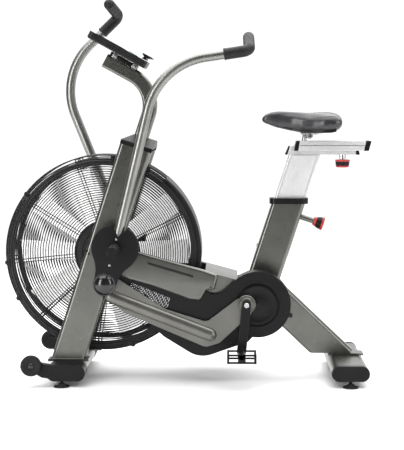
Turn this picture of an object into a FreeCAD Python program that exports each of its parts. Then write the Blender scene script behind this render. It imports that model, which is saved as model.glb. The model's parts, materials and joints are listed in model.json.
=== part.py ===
import FreeCAD, Part
import math
import os

# Air bike: a fan bike whose pedals and swinging arms drive one belt-driven fan.
# Frame: +X to the rear, +Y to the rider's right, +Z up; origin on the floor under the middle.
# Side view outlines are drawn in (x, z); "left" is the -Y side.

V = FreeCAD.Vector
LEFT = -1
RIGHT = 1

DIMENSIONS = {
    # Leaning box frame
    "lean_angle": 18.0,
    "tube_depth": 120.0,
    "tube_wall": 2.0,
    "tube_corner": 14.0,
    "upright_inner": 112.0,
    "upright_outer": 167.0,
    "upright_rise": 415.0,
    "bridge_height": 42.0,
    "bridge_shoulder": 16.0,
    "plate_top": 87.0,
    # Fan and cage
    "fan_x": -317.0,
    "fan_z": 472.0,
    "blade_tip": 322.0,
    "blade_count": 10.0,
    "blade_width": 96.0,
    "blade_pitch": 38.0,
    "cage_radius": 368.0,
    "ring_radius": 342.0,
    "hub_plate_radius": 130.0,
    "cage_face": 88.0,
    "grille_thickness": 2.0,
    "grille_rings": 24.0,
    "grille_spokes": 9.0,
    "spoke_angle": 25.5,
    "shroud_start": -38.0,
    "shroud_end": 50.0,
    "fan_pulley_radius": 18.0,
    # Crank and drive
    "crank_x": 259.0,
    "crank_z": 292.0,
    "crank_pulley_radius": 60.0,
    "belt_inner": 93.0,
    "belt_width": 14.0,
    "belt_thickness": 3.0,
    "disc_radius": 72.0,
    "pin_offset": 41.5,
    "pin_angle": 174.7,
    "crank_length": 171.0,
    "crank_angle": 264.0,
    "axle_radius": 10.0,
    "running_gap": 0.05,
    # Layers beside the frame, measured from the middle plane
    "guard_outer": 170.0,
    "guard_inner": 100.0,
    "cover_outer": 175.0,
    "disc_inner": 168.0,
    "disc_outer": 176.0,
    "rod_inner": 178.0,
    "rod_outer": 201.0,
    "arm_inner": 204.0,
    "arm_outer": 243.0,
    "crank_arm_inner": 203.0,
    "crank_arm_outer": 219.0,
    "peg_outer": 369.5,
    # Chain guard and cover
    "guard_radius": 122.0,
    "right_guard_radius": 90.0,
    "guard_wall": 3.0,
    "disc_window": 80.0,
    "right_disc_window": 76.0,
    "right_cover_drop": 42.0,
    # Swinging arms
    "pivot_x": -260.0,
    "pivot_z": 507.0,
    "lever_length": 138.6,
    "lever_angle": 16.3,
    "arm_lean": 13.5,
    "arm_rise": 681.0,
    "arm_bend": 250.0,
    "arm_tube_radius": 18.2,
    "arm_plane": 222.0,
    "grip_radius": 21.5,
    "cover_disc": 86.0,
    "cover_tail": 42.0,
    "cover_waist": 120.0,
    # Seat
    "collar_bottom": 654.0,
    "seat_tube_top": 660.0,
    "collar_top": 675.0,
    "seat_tube_depth": 60.0,
    "post_width": 112.0,
    "post_thickness": 50.0,
    "plunger_radius": 6.0,
    "barrel_radius": 10.5,
    "barrel_length": 50.0,
    "slider_barrel_length": 16.0,
    "slider_knob_x": 580.0,
    "rail_bottom": 838.0,
    "rail_top": 871.0,
    "slider_bottom": 853.0,
    "slider_top": 890.0,
    "slider_rear": 685.5,
    "slider_length": 290.0,
    # Console
    "mast_rise": 187.0,
    "mast_reach": 220.0,
    "mast_bend": 126.0,
    "mast_depth": 53.0,
    "mast_width": 70.0,
    "console_tilt": 28.7,
    "console_x": -254.4,
    "console_z": 1240.3,
    "console_length": 243.0,
    "console_width": 160.0,
    "console_thickness": 28.0,
    # Base
    "stabilizer_width": 136.0,
    "stabilizer_height": 54.0,
    "stabilizer_z": 52.0,
    "front_base_x": -441.0,
    "rear_base_x": 596.0,
    "base_half": 262.0,
    "foot_radius": 29.0,
    "foot_y": 250.0,
    "wheel_radius": 38.0,
    "wheel_x": -564.0,
    "wheel_z": 82.0,
}

doc = FreeCAD.newDocument("air_bike")
sheet = doc.addObject("Spreadsheet::Sheet", "Sizes")
for row, (alias, value) in enumerate(DIMENSIONS.items(), start=1):
    sheet.set(f"A{row}", alias)
    sheet.set(f"B{row}", str(value))
    sheet.setAlias(f"B{row}", alias)
doc.recompute()

parts = {}


def size(alias):
    """The value of one driving dimension, read from the sheet."""
    return float(sheet.get(alias))


def bind(item, bindings):
    """Bind properties of one object to cells or formulas of the sheet."""
    for name, formula in bindings.items():
        item.setExpression(name, formula)


def keep(item, label):
    """Register one finished sub-part under the name of its file."""
    item.Label = label
    parts[label] = item
    return item


# ---------------------------------------------------------------- drawing helpers

def polar(centre, radius, angle):
    """Point of the side view at a radius and angle from a centre."""
    return (centre[0] + radius * math.cos(math.radians(angle)),
            centre[1] + radius * math.sin(math.radians(angle)))


def corner_points(before, corner, after, radius):
    """Start, middle and end of the arc that rounds one corner."""
    toward = (before - corner).normalize()
    onward = (after - corner).normalize()
    half = toward.getAngle(onward) / 2
    reach = radius / math.tan(half)
    middle = (toward + onward).normalize()
    start = corner + toward * reach
    end = corner + onward * reach
    nearest = corner + middle * (radius / math.sin(half) - radius)
    return start, nearest, end


def rounded_curves(points, closed=True):
    """Lines and tangent arcs through points given as (vector, corner radius)."""
    count = len(points)
    arcs = []
    for index, (corner, radius) in enumerate(points):
        inner = closed or 0 < index < count - 1
        if radius > 0 and inner:
            before = points[index - 1][0]
            after = points[(index + 1) % count][0]
            arcs.append(corner_points(before, corner, after, radius))
        else:
            arcs.append((corner, None, corner))
    curves = []
    for index in range(count):
        start, middle, end = arcs[index]
        if middle is not None:
            curves.append(Part.Arc(start, middle, end))
        following = arcs[(index + 1) % count]
        last = index == count - 1 and not closed
        if not last and (following[0] - end).Length > 1e-6:
            curves.append(Part.LineSegment(end, following[0]))
    return curves


def outline(*corners):
    """Closed outline from (x, z) or (x, z, radius) corners, drawn flat in XY."""
    return rounded_curves([(V(c[0], c[1], 0), c[2] if len(c) > 2 else 0) for c in corners])


def rectangle(width, height, radius, centre=(0.0, 0.0)):
    """Rounded rectangle about a centre, drawn flat in XY."""
    x, y = centre
    a = width / 2
    b = height / 2
    return outline((x - a, y - b, radius), (x + a, y - b, radius),
                   (x + a, y + b, radius), (x - a, y + b, radius))


def circle(centre, radius):
    """Circle drawn flat in XY."""
    return [Part.Circle(V(centre[0], centre[1], 0), V(0, 0, 1), radius)]


def capsule(first, first_radius, second, second_radius):
    """Outline of two circles of different size and their outer tangents."""
    a = V(first[0], first[1], 0)
    b = V(second[0], second[1], 0)
    gap = b - a
    heading = math.atan2(gap.y, gap.x)
    spread = math.acos((first_radius - second_radius) / gap.Length)

    def on(centre, radius, angle):
        return centre + V(radius * math.cos(angle), radius * math.sin(angle), 0)

    left_a = on(a, first_radius, heading + spread)
    right_a = on(a, first_radius, heading - spread)
    left_b = on(b, second_radius, heading + spread)
    right_b = on(b, second_radius, heading - spread)
    return [Part.Arc(left_a, on(a, first_radius, heading + math.pi), right_a),
            Part.LineSegment(right_a, right_b),
            Part.Arc(right_b, on(b, second_radius, heading), left_b),
            Part.LineSegment(left_b, left_a)]


# ---------------------------------------------------------------- solid helpers

FACING_LEFT = FreeCAD.Rotation(V(1, 0, 0), 90)


def flat_face(*loops):
    """Flat face in XY: the first loop is its edge, the others are its holes."""
    wires = [Part.Wire(Part.__sortEdges__([curve.toShape() for curve in loop])) for loop in loops]
    return Part.Face(wires, "Part::FaceMakerBullseye")


def slab(low_y, high_y, *loops):
    """Side view outline (with holes) as a solid between two Y planes."""
    face = flat_face(*loops)
    solid = face.extrude(V(0, 0, high_y - low_y))
    solid.Placement = FreeCAD.Placement(V(0, high_y, 0), FACING_LEFT)
    return solid


def side_slab(side, inner, outer, *loops):
    """A slab on the left or right of the middle plane, between two layers."""
    if side == LEFT:
        return slab(-outer, -inner, *loops)
    return slab(inner, outer, *loops)


def drum(x, z, radius, low_y, high_y):
    """Cylinder along Y."""
    return Part.makeCylinder(radius, high_y - low_y, V(x, low_y, z), V(0, 1, 0))


def side_drum(side, x, z, radius, inner, outer):
    """Cylinder along Y on the left or right of the middle plane."""
    if side == LEFT:
        return drum(x, z, radius, -outer, -inner)
    return drum(x, z, radius, inner, outer)


def block(low, high):
    """Axis-aligned box between two corners."""
    return Part.makeBox(high[0] - low[0], high[1] - low[1], high[2] - low[2], V(*low))


def mirrored(shape):
    """The same shape on the other side of the middle plane."""
    return shape.mirror(V(0, 0, 0), V(0, 1, 0))


def pipe(points, radius):
    """Round bar along a path of (vector, bend radius) corners."""
    edges = [curve.toShape() for curve in rounded_curves(points, closed=False)]
    path = Part.Wire(edges)
    start = points[0][0]
    heading = points[1][0] - start
    ring = Part.Wire([Part.makeCircle(radius, start, heading)])
    return path.makePipeShell([ring], True, False)


def feature(label, shape):
    """Keep a shape made with Part's own functions as one sub-part."""
    item = doc.addObject("Part::Feature", label)
    item.Shape = shape
    return keep(item, label)


def group(label, shapes):
    """Keep several like pieces as separate solids of one sub-part."""
    solids = [solid for shape in shapes for solid in shape.Solids]
    return feature(label, Part.makeCompound(solids))


def origin_plane(body, role):
    """One of a body's own origin planes."""
    return [plane for plane in body.Origin.OriginFeatures if plane.Role == role][0]


def new_sketch(body, role, name, loops):
    """A sketch on one of the body's origin planes, holding closed loops."""
    sketch = body.newObject("Sketcher::SketchObject", name)
    sketch.AttachmentSupport = [(origin_plane(body, role), "")]
    sketch.MapMode = "FlatFace"
    for loop in loops:
        for curve in loop:
            sketch.addGeometry(curve, False)
    return sketch


def padded_body(name, loops, length_formula, placement):
    """PartDesign body: a sketch in its XY plane padded along its own +Z."""
    body = doc.addObject("PartDesign::Body", name)
    sketch = new_sketch(body, "XY_Plane", name + "_sketch", loops)
    pad = body.newObject("PartDesign::Pad", name + "_pad")
    pad.Profile = sketch
    bind(pad, {"Length": length_formula})
    body.Placement = placement
    return body


def turned_body(name, profile, placement):
    """PartDesign body: a (radius, height) profile revolved about its own Z axis."""
    body = doc.addObject("PartDesign::Body", name)
    sketch = new_sketch(body, "XZ_Plane", name + "_sketch", [profile])
    turn = body.newObject("PartDesign::Revolution", name + "_turn")
    turn.Profile = sketch
    turn.ReferenceAxis = (sketch, ["V_Axis"])
    turn.Angle = 360.0
    body.Placement = placement
    return body


def boolean(kind, name, base, tool):
    """A Part boolean of two document objects."""
    item = doc.addObject(kind, name)
    item.Base = base
    item.Tool = tool
    return item


def leaning(point, angle, y=0.0):
    """Placement at a side view point whose own Z leans to the rear by an angle."""
    return FreeCAD.Placement(V(point[0], y, point[1]), FreeCAD.Rotation(V(0, 1, 0), angle))


# ---------------------------------------------------------------- reference points

FAN = (size("fan_x"), size("fan_z"))
CRANK = (size("crank_x"), size("crank_z"))
PIVOT = (size("pivot_x"), size("pivot_z"))
LEAN = size("lean_angle")
ALONG_LEAN = 90 - LEAN


def crank_pin(side):
    """Centre of the eccentric pin on one side; the two pins are opposite."""
    turn = 0 if side == LEFT else 180
    return polar(CRANK, size("pin_offset"), size("pin_angle") + turn)


def pedal_axle(side):
    """Centre of the pedal spindle on one side."""
    turn = 0 if side == LEFT else 180
    return polar(crank_pin(side), size("crank_length"), size("crank_angle") + turn)


SEAT_RISE = (size("seat_tube_top") - CRANK[1]) / math.cos(math.radians(LEAN))
KNOB_SEAT = polar(polar(CRANK, 347.0, ALONG_LEAN), size("tube_depth") / 2, -LEAN)
LEFT_EYE = polar(PIVOT, size("lever_length"), 270 - size("lever_angle"))
ROD_LENGTH = math.dist(LEFT_EYE, crank_pin(LEFT))


def right_eye():
    """The right lever's end: where the lever's circle meets the rod's circle."""
    pin = crank_pin(RIGHT)
    gap = math.dist(PIVOT, pin)
    heading = math.degrees(math.atan2(pin[1] - PIVOT[1], pin[0] - PIVOT[0]))
    lever = size("lever_length")
    cosine = (gap ** 2 + lever ** 2 - ROD_LENGTH ** 2) / (2 * gap * lever)
    return polar(PIVOT, lever, heading - math.degrees(math.acos(cosine)))


RIGHT_EYE = right_eye()


def side_view_angle(start, end):
    """Angle of the line between two side view points, from +X towards +Z."""
    return math.degrees(math.atan2(end[1] - start[1], end[0] - start[0]))


ARM_SWING = side_view_angle(PIVOT, RIGHT_EYE) - side_view_angle(PIVOT, LEFT_EYE)
ROD_TILT = side_view_angle(crank_pin(RIGHT), RIGHT_EYE) - side_view_angle(crank_pin(LEFT), LEFT_EYE)


# ---------------------------------------------------------------- base

def floor_block():
    """A block below the tops of the foot plates, used to trim the leaning tubes."""
    trim = doc.addObject("Part::Box", "floor_trim")
    bind(trim, {"Length": "2000 mm", "Width": "400 mm", "Height": "Sizes.plate_top"})
    trim.Placement = FreeCAD.Placement(V(-1000, -200, 0), FreeCAD.Rotation())
    return trim


def racetrack(extra=0.0, centre=(0.0, 0.0)):
    """End view of the stabiliser tube, grown by an extra wall."""
    height = size("stabilizer_height") + 2 * extra
    return rectangle(size("stabilizer_width") + 2 * extra, height, height / 2 - 0.01, centre)


def make_stabilizers():
    """Two racetrack tubes across the floor, with the foot plates welded on top."""
    cap_depth = 24.0
    plate_height = size("plate_top") - size("stabilizer_z") - size("stabilizer_height") / 2
    top = size("plate_top")
    plates = {
        "front_stabilizer": [(size("front_base_x"), side * 139.5, 150.0, 60.0) for side in (LEFT, RIGHT)],
        "rear_stabilizer": [(size("rear_base_x"), 0.0, 134.0, 70.0)],
    }
    for label, feet in plates.items():
        centre = (feet[0][0], size("stabilizer_z"))
        reach = size("base_half") - cap_depth
        tube = slab(-reach, reach, racetrack(0, centre), racetrack(-size("tube_wall"), centre))
        for x, y, length, width in feet:
            low = (x - length / 2, y - width / 2, top - plate_height)
            high = (x + length / 2, y + width / 2, top)
            tube = tube.fuse(block(low, high))
        if label == "front_stabilizer":
            tube = tube.fuse(cage_bracket())
        feature(label, tube.removeSplitter())


def cage_bracket():
    """Bent tongue that carries the bottom of the cage on the front stabiliser."""
    return slab(-60.0, 60.0, outline((-409, 70), (-405, 84), (-380, 103.5), (-328, 103.5),
                                     (-328, 99.5), (-378, 99.5), (-398, 80)))


def foot_bore(x, y):
    """Bore for the stud of one levelling foot."""
    return Part.makeCylinder(6.0 + size("running_gap"), 45.0, V(x, y, 15.0))


def make_rear_caps():
    """Solid end caps that close the rear stabiliser and hold its levelling feet."""
    caps = []
    for side in (LEFT, RIGHT):
        centre = (size("rear_base_x"), size("stabilizer_z"))
        cap = side_slab(side, size("base_half") - 24.0, size("base_half"), racetrack(1.0, centre))
        caps.append(cap.cut(foot_bore(size("rear_base_x"), side * size("foot_y"))))
    group("rear_caps", caps)


def make_front_boots():
    """Moulded boots: a sleeve over the tube, a solid end and an arm for the wheel."""
    boots = []
    centre = (size("front_base_x"), size("stabilizer_z"))
    wheel = (size("wheel_x"), size("wheel_z"))
    end = size("base_half") - 24.0
    for side in (LEFT, RIGHT):
        sleeve = side_slab(side, 174.0, end, racetrack(3.0, centre), racetrack(0.0, centre))
        solid_end = side_slab(side, end, size("base_half"), racetrack(3.0, centre))
        arm = side_slab(side, end, size("base_half"), outline(
            (wheel[0] - 4, wheel[1] + 21, 16), (wheel[0] + 40, wheel[1] + 4, 30),
            (centre[0] - 20, 78), (centre[0] - 20, 26), (wheel[0] + 36, 36, 30),
            (wheel[0] - 18, wheel[1] - 14, 16)))
        stub = side_drum(side, wheel[0], wheel[1], 6.0, size("base_half") - 2, size("base_half") + 27)
        boot = sleeve.fuse([solid_end, arm, stub])
        boot = boot.cut(foot_bore(size("front_base_x") - 15.0, side * size("foot_y")))
        boots.append(boot.removeSplitter())
    group("front_boots", boots)


def make_wheels():
    """Transport wheels on the stubs of the front boots."""
    bore = 6.0 + size("running_gap")
    tread = size("wheel_radius")
    profile = outline((bore, -10), (14, -10), (14, -5), (26, -5), (26, -11), (tread, -11, 4),
                      (tread, 11, 4), (26, 11), (26, 5), (14, 5), (14, 10), (bore, 10))
    for side, label in ((LEFT, "wheel_left"), (RIGHT, "wheel_right")):
        centre = V(size("wheel_x"), side * (size("base_half") + 14), size("wheel_z"))
        keep(turned_body(label, profile, FreeCAD.Placement(centre, FACING_LEFT)), label)


def make_feet():
    """Four levelling feet: a disc, a cone and a stud that screws into the base."""
    disc = size("foot_radius")
    profile = outline((0, 0), (disc, 0), (disc, 4, 1.5), (12, 13, 6), (6, 15), (6, 55), (0, 55))
    for end, x in (("front", size("front_base_x") - 15.0), ("rear", size("rear_base_x"))):
        for side, name in ((LEFT, "left"), (RIGHT, "right")):
            label = f"foot_{end}_{name}"
            place = FreeCAD.Placement(V(x, side * size("foot_y"), 0), FreeCAD.Rotation())
            keep(turned_body(label, profile, place), label)


# ---------------------------------------------------------------- welded frame

def box_tube(name, width, start, angle, length_formula, y=0.0):
    """Hollow rounded box tube whose own Z runs along its length."""
    wall = size("tube_wall")
    depth = size("tube_depth")
    radius = size("tube_corner")
    loops = [rectangle(depth, width, radius),
             rectangle(depth - 2 * wall, width - 2 * wall, radius - wall)]
    return padded_body(name, loops, length_formula, leaning(start, angle, y))


def make_uprights(trim):
    """Leaning box tubes on both sides of the fan, cut level on the foot plates."""
    width = size("upright_outer") - size("upright_inner")
    middle = (size("upright_outer") + size("upright_inner")) / 2
    below = 454.0
    start = polar(FAN, -below, ALONG_LEAN)
    for side, label in ((LEFT, "left_upright"), (RIGHT, "right_upright")):
        tube = box_tube(label + "_tube", width, start, LEAN, f"Sizes.upright_rise + {below}", side * middle)
        keep(boolean("Part::Cut", label, tube, trim), label)


def make_top_bridge():
    """Cap with a tunnel that joins the uprights and slopes up from its front edge to the mast."""
    outer = size("upright_outer")
    height = size("bridge_height")
    shoulder = size("bridge_shoulder")
    half = size("mast_width") / 2 + 8.0
    wall = 4.0
    block_view = outline((-outer, 0), (outer, 0), (outer, shoulder, 6), (half, height, 14),
                         (-half, height, 14), (-outer, shoulder, 6))
    tunnel = outline((-outer + wall, wall), (outer - wall, wall), (outer - wall, shoulder - wall, 3),
                     (-outer + wall, shoulder - wall, 3))
    depth = size("tube_depth")
    start = polar(polar(FAN, size("upright_rise"), ALONG_LEAN), -depth / 2, -LEAN)
    facing = FreeCAD.Rotation(V(0, 1, 0), LEAN) * FreeCAD.Rotation(V(0, 0, 1), 90) * FACING_LEFT
    place = FreeCAD.Placement(V(start[0], 0, start[1]), facing)
    body = padded_body("bridge_block", [block_view, tunnel], "Sizes.tube_depth", place)
    doc.recompute()
    ledge = depth / 2 - size("mast_depth") / 2 - 2.0
    corners = [polar(polar(start, along, -LEAN), rise, ALONG_LEAN)
               for along, rise in ((0.0, shoulder), (ledge, height), (ledge, height + 20), (-20.0, height))]
    slope = slab(-outer - 5, outer + 5, outline(*corners))
    feature("top_bridge", body.Shape.cut(slope))


def make_console_mast():
    """Box-section mast: up along the lean, then bent forward under the console."""
    foot, bend, tip = mast_tip()
    bend_angle = 180 - size("console_tilt") - ALONG_LEAN
    half_width = size("mast_width") / 2

    def side_outline(inset):
        half = size("mast_depth") / 2 - inset
        slide = half * math.tan(math.radians(bend_angle / 2))
        outer_bend = polar(polar(bend, half, -LEAN), slide, ALONG_LEAN)
        inner_bend = polar(polar(bend, -half, -LEAN), -slide, ALONG_LEAN)
        normal = 90 - size("console_tilt")
        return outline((*polar(foot, half, -LEAN),), (*outer_bend, size("mast_bend") + half),
                       (*polar(tip, half, normal),), (*polar(tip, -half, normal),),
                       (*inner_bend, size("mast_bend") - half), (*polar(foot, -half, -LEAN),))

    def rounded_bar(inset):
        half = half_width - inset
        bar = slab(-half, half, side_outline(inset))
        long_edges = [edge for edge in bar.Edges if abs(abs(edge.CenterOfMass.y) - half) < 0.1
                      and edge.Length > size("mast_depth") + 1]
        return bar.makeFillet(10.0 - inset, long_edges)

    feature("console_mast", rounded_bar(0.0).cut(rounded_bar(size("tube_wall"))))


RAIL_SLOPE = 0.2736


def rail_top(x):
    """Height of the top face of the side rails."""
    return 397.5 - RAIL_SLOPE * (x - 119.0)


def rail_front(drop):
    """Where a line of the rail, a drop below its top, meets the upright's rear face."""
    lean = math.tan(math.radians(LEAN))
    rear_face = FAN[0] + size("tube_depth") / 2 / math.cos(math.radians(LEAN))
    x = (rear_face + (rail_top(0.0) - drop - FAN[1]) * lean) / (1 + RAIL_SLOPE * lean)
    return x, rail_top(x) - drop


def make_side_rails():
    """Rails that carry the frame past the fan, from the uprights to the cross beam."""
    rear = 187.0
    drop = 72.0
    wall = size("tube_wall")
    top_front = rail_front(wall)
    low_front = rail_front(drop - wall)
    rails = []
    for side in (LEFT, RIGHT):
        shape = side_slab(side, size("upright_inner"), 150.0, outline(
            rail_front(0.0), (rear, rail_top(rear)), (rear, rail_top(rear) - drop), rail_front(drop)))
        core = side_slab(side, size("upright_inner") + wall, 150.0 - wall, outline(
            (top_front[0] + wall, top_front[1]), (rear - wall, rail_top(rear) - wall),
            (rear - wall, rail_top(rear) - drop + wall), (low_front[0] + wall, low_front[1])))
        rails.append(shape.cut(core))
    group("side_rails", rails)


def make_cross_beam():
    """Beam between the side rails behind the fan, with a neck to the seat tube."""
    low = 306.0
    high = 360.0
    front = 137.0
    rear = 187.0
    wall = size("tube_wall")
    inner = size("upright_inner")
    beam = block((front, -inner, low), (rear, inner, high))
    core = block((front + wall, -inner + wall, low + wall), (rear - wall, inner - wall, high - wall))

    def tube_front(z):
        return CRANK[0] + (z - CRANK[1]) * math.tan(math.radians(LEAN)) - 60.0 / math.cos(math.radians(LEAN))

    neck = slab(-28.0, 28.0, outline((rear, low), (tube_front(low), low),
                                     (tube_front(high), high), (rear, high)))
    feature("cross_beam", beam.cut(core).fuse(neck).removeSplitter())


def level_trim(name, height):
    """A block above a level plane, used to cut leaning tubes off flat."""
    trim = doc.addObject("Part::Box", name)
    bind(trim, {"Length": "600 mm", "Width": "200 mm", "Height": "200 mm"})
    trim.Placement = FreeCAD.Placement(V(100, -100, height), FreeCAD.Rotation())
    return trim


def make_seat_tube():
    """Hollow seat tube with the crank's bearing shell welded through it."""
    below = 80.0
    start = polar(CRANK, -below, ALONG_LEAN)
    length = f"{SEAT_RISE + below + 30.0} mm"
    tube = box_tube("seat_tube_box", size("seat_tube_depth"), start, LEAN, length)
    tube = boolean("Part::Cut", "seat_tube_level", tube, level_trim("above_tube", size("seat_tube_top")))
    shell = doc.addObject("Part::Cylinder", "bearing_shell")
    bind(shell, {"Radius": "28 mm", "Height": "88 mm"})
    shell.Placement = FreeCAD.Placement(V(CRANK[0], 44, CRANK[1]), FACING_LEFT)
    joined = boolean("Part::Fuse", "seat_tube_joined", tube, shell)
    bore = doc.addObject("Part::Cylinder", "bearing_bore")
    bind(bore, {"Radius": "21 mm", "Height": "100 mm"})
    bore.Placement = FreeCAD.Placement(V(CRANK[0], 50, CRANK[1]), FACING_LEFT)
    bored = boolean("Part::Cut", "seat_tube_bored", joined, bore)
    barrel = doc.addObject("Part::Cylinder", "knob_barrel")
    bind(barrel, {"Radius": "Sizes.barrel_radius", "Height": "Sizes.barrel_length + 1"})
    barrel.Placement = leaning(polar(KNOB_SEAT, 1.0, 180 - LEAN), 90 + LEAN)
    with_barrel = boolean("Part::Fuse", "seat_tube_with_barrel", bored, barrel)
    guide = doc.addObject("Part::Cylinder", "knob_guide")
    bind(guide, {"Radius": "Sizes.plunger_radius + Sizes.running_gap", "Height": "Sizes.barrel_length + 10"})
    guide.Placement = leaning(polar(KNOB_SEAT, 5.0, 180 - LEAN), 90 + LEAN)
    keep(boolean("Part::Cut", "seat_tube", with_barrel, guide), "seat_tube")


def make_rear_leg(trim):
    """Box tube from the seat tube down to the rear foot plate."""
    slope = 43.5
    start = (276.0, 344.3)
    tube = box_tube("rear_leg_box", 60.0, start, 90 + slope, "420 mm")
    level = boolean("Part::Cut", "rear_leg_level", tube, trim)
    outer = doc.addObject("Part::Box", "seat_tube_space")
    bind(outer, {"Length": "Sizes.tube_depth", "Width": "70 mm", "Height": "500 mm"})
    corner = polar(polar(CRANK, -100.0, ALONG_LEAN), -size("tube_depth") / 2, -LEAN)
    outer.Placement = leaning(corner, LEAN, -35.0)
    keep(boolean("Part::Cut", "rear_leg", level, outer), "rear_leg")


def make_collar():
    """Level moulded collar over the mouth of the seat tube, clear of the post."""
    low = size("collar_bottom")
    middle = CRANK[0] + (size("seat_tube_top") - CRANK[1]) * math.tan(math.radians(LEAN))
    flat = FreeCAD.Placement(V(middle, 0, low), FreeCAD.Rotation())
    ring = padded_body("collar_block", [rectangle(145.0, 80.0, 24.0)],
                       "Sizes.collar_top - Sizes.collar_bottom", flat)
    start = polar(CRANK, SEAT_RISE - 60.0, ALONG_LEAN)
    tube_outline = rectangle(size("tube_depth"), size("seat_tube_depth"), size("tube_corner"))
    tube_space = padded_body("collar_tube_space", [tube_outline], "120 mm", leaning(start, LEAN))
    tube_space = boolean("Part::Cut", "collar_seat", tube_space,
                         level_trim("above_seat", size("seat_tube_top")))
    over_tube = boolean("Part::Cut", "collar_over_tube", ring, tube_space)
    mouth = rectangle(size("post_width") + 1.2, size("post_thickness") + 1.2, 8.6)
    post_space = padded_body("collar_post_space", [mouth], "120 mm", leaning(start, LEAN))
    keep(boolean("Part::Cut", "seat_tube_collar", over_tube, post_space), "seat_tube_collar")


# ---------------------------------------------------------------- guards and covers

def guard_loop(inset, radius):
    """Front part of a chain guard's outline, without its round end of the given radius."""
    i = inset
    shoulder = polar(CRANK, radius + 1.0 - i, 124.0)
    return outline((-284 + i, 356 + i), (-212, 331 + i), (-77 - i, 275 + i), (-133 + i, 213, 8),
                   (-84 + i, 171 + i, 30), (46, 91 + 1.2 * i, 100), (225, 154 + i), (300, 240),
                   shoulder, (106, 321 - i, 46), (56, 347 - i), (-284 + i, 436 - i))


def guard_vents():
    """Slanted slots through the front of the chain guard."""
    slots = []
    count = 24
    for index in range(count):
        x = -205.0 + index * 6.0
        top = 372.0 - (x + 205.0) * 0.40
        slots.append(outline((x, top), (x + 3.2, top), (x - 7.0, top - 42.0), (x - 10.2, top - 42.0)))
    return slots


def guard_shell(radius, window_radius):
    """Left-hand guard: an outer face, rim walls and a drum round the crank pulley."""
    wall = size("guard_wall")
    inner = size("guard_inner")
    outer = size("guard_outer")
    full = side_slab(LEFT, inner, outer, guard_loop(0.0, radius))
    full = full.fuse(side_drum(LEFT, *CRANK, radius, inner, outer))
    hollow = side_slab(LEFT, inner - 1, outer - wall, guard_loop(wall, radius))
    hollow = hollow.fuse(side_drum(LEFT, *CRANK, radius - wall, inner - 1, outer - wall))
    shell = full.cut(hollow)
    rail_space = block((-300, -152, 262), (188, -inner + 2, 460))
    upright_space = block((-300, -size("upright_outer") - 0.3, 262), (-255, -inner + 2, 460))
    window = side_drum(LEFT, *CRANK, window_radius, inner, outer + 1)
    lug = side_drum(LEFT, *polar(CRANK, radius + 4, -18.0), 9.0, outer - 12, outer)
    shell = shell.fuse(lug.cut(side_drum(LEFT, *CRANK, radius - wall, inner, outer)))
    vents = [side_slab(LEFT, outer - 5, outer + 1, slot) for slot in guard_vents()]
    shell = shell.cut([rail_space, upright_space, window, Part.makeCompound(vents)])
    return shell.removeSplitter()


def make_chain_guards():
    """Chain guards; the belt runs on the left, so the right one has a smaller drum."""
    feature("chain_guard_left", guard_shell(size("guard_radius"), size("disc_window")))
    right = guard_shell(size("right_guard_radius"), size("right_disc_window"))
    feature("chain_guard_right", mirrored(right))


COVER_TOP = ((-240.0, 504.0), (61.0, 421.0), (115.0, 402.0))


def cover_loop(inset, drop):
    """Side cover outline, shrunk by a wall and moved down by a drop."""
    i = inset
    d = -drop
    return outline((COVER_TOP[0][0] + i, COVER_TOP[0][1] - i + d),
                   (COVER_TOP[1][0], COVER_TOP[1][1] - i + d, 150),
                   (COVER_TOP[2][0] - i, COVER_TOP[2][1] - i + d, 10), (101 - i, 346 + i + d, 4),
                   (72 - i, 347 + i + d, 12), (49 - i, 306 + i + d, 16), (8, 310 + i + d, 30),
                   (-126, 359 + i + d, 200), (-276 + i, 402 + i + d))


def cover_shell(drop, strip_inner):
    """Left-hand cover set lower by a drop: an outer face and a wall that wraps over its top."""
    wall = size("guard_wall")
    outer = size("cover_outer")
    back = size("guard_outer") + 2.0
    front, bend, rear = [(x, z - drop) for x, z in COVER_TOP]
    face = side_slab(LEFT, back, outer, cover_loop(0.0, drop))
    rounded = [edge for edge in face.Edges if abs(edge.CenterOfMass.y + outer) < 0.1]
    face = face.makeFillet(2.0, rounded)
    strip = side_slab(LEFT, strip_inner, back, outline(
        front, (*bend, 150), rear, (rear[0], rear[1] - wall), (bend[0], bend[1] - wall, 150),
        (front[0] - 1, front[1] - wall)))
    foot = 352.0 - drop / 2
    end_wall = side_slab(LEFT, 153.0, back, outline(
        rear, (102, foot), (99, foot), (rear[0] - wall, rear[1])))
    return face.fuse([strip, end_wall]).removeSplitter()


def make_side_covers():
    """Moulded covers over the rails; the right one hangs lower, beside its rail."""
    feature("side_cover_left", cover_shell(0.0, size("upright_inner") - 4.0))
    feature("side_cover_right", mirrored(cover_shell(size("right_cover_drop"), 153.0)))


# ---------------------------------------------------------------- fan and cage

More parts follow.
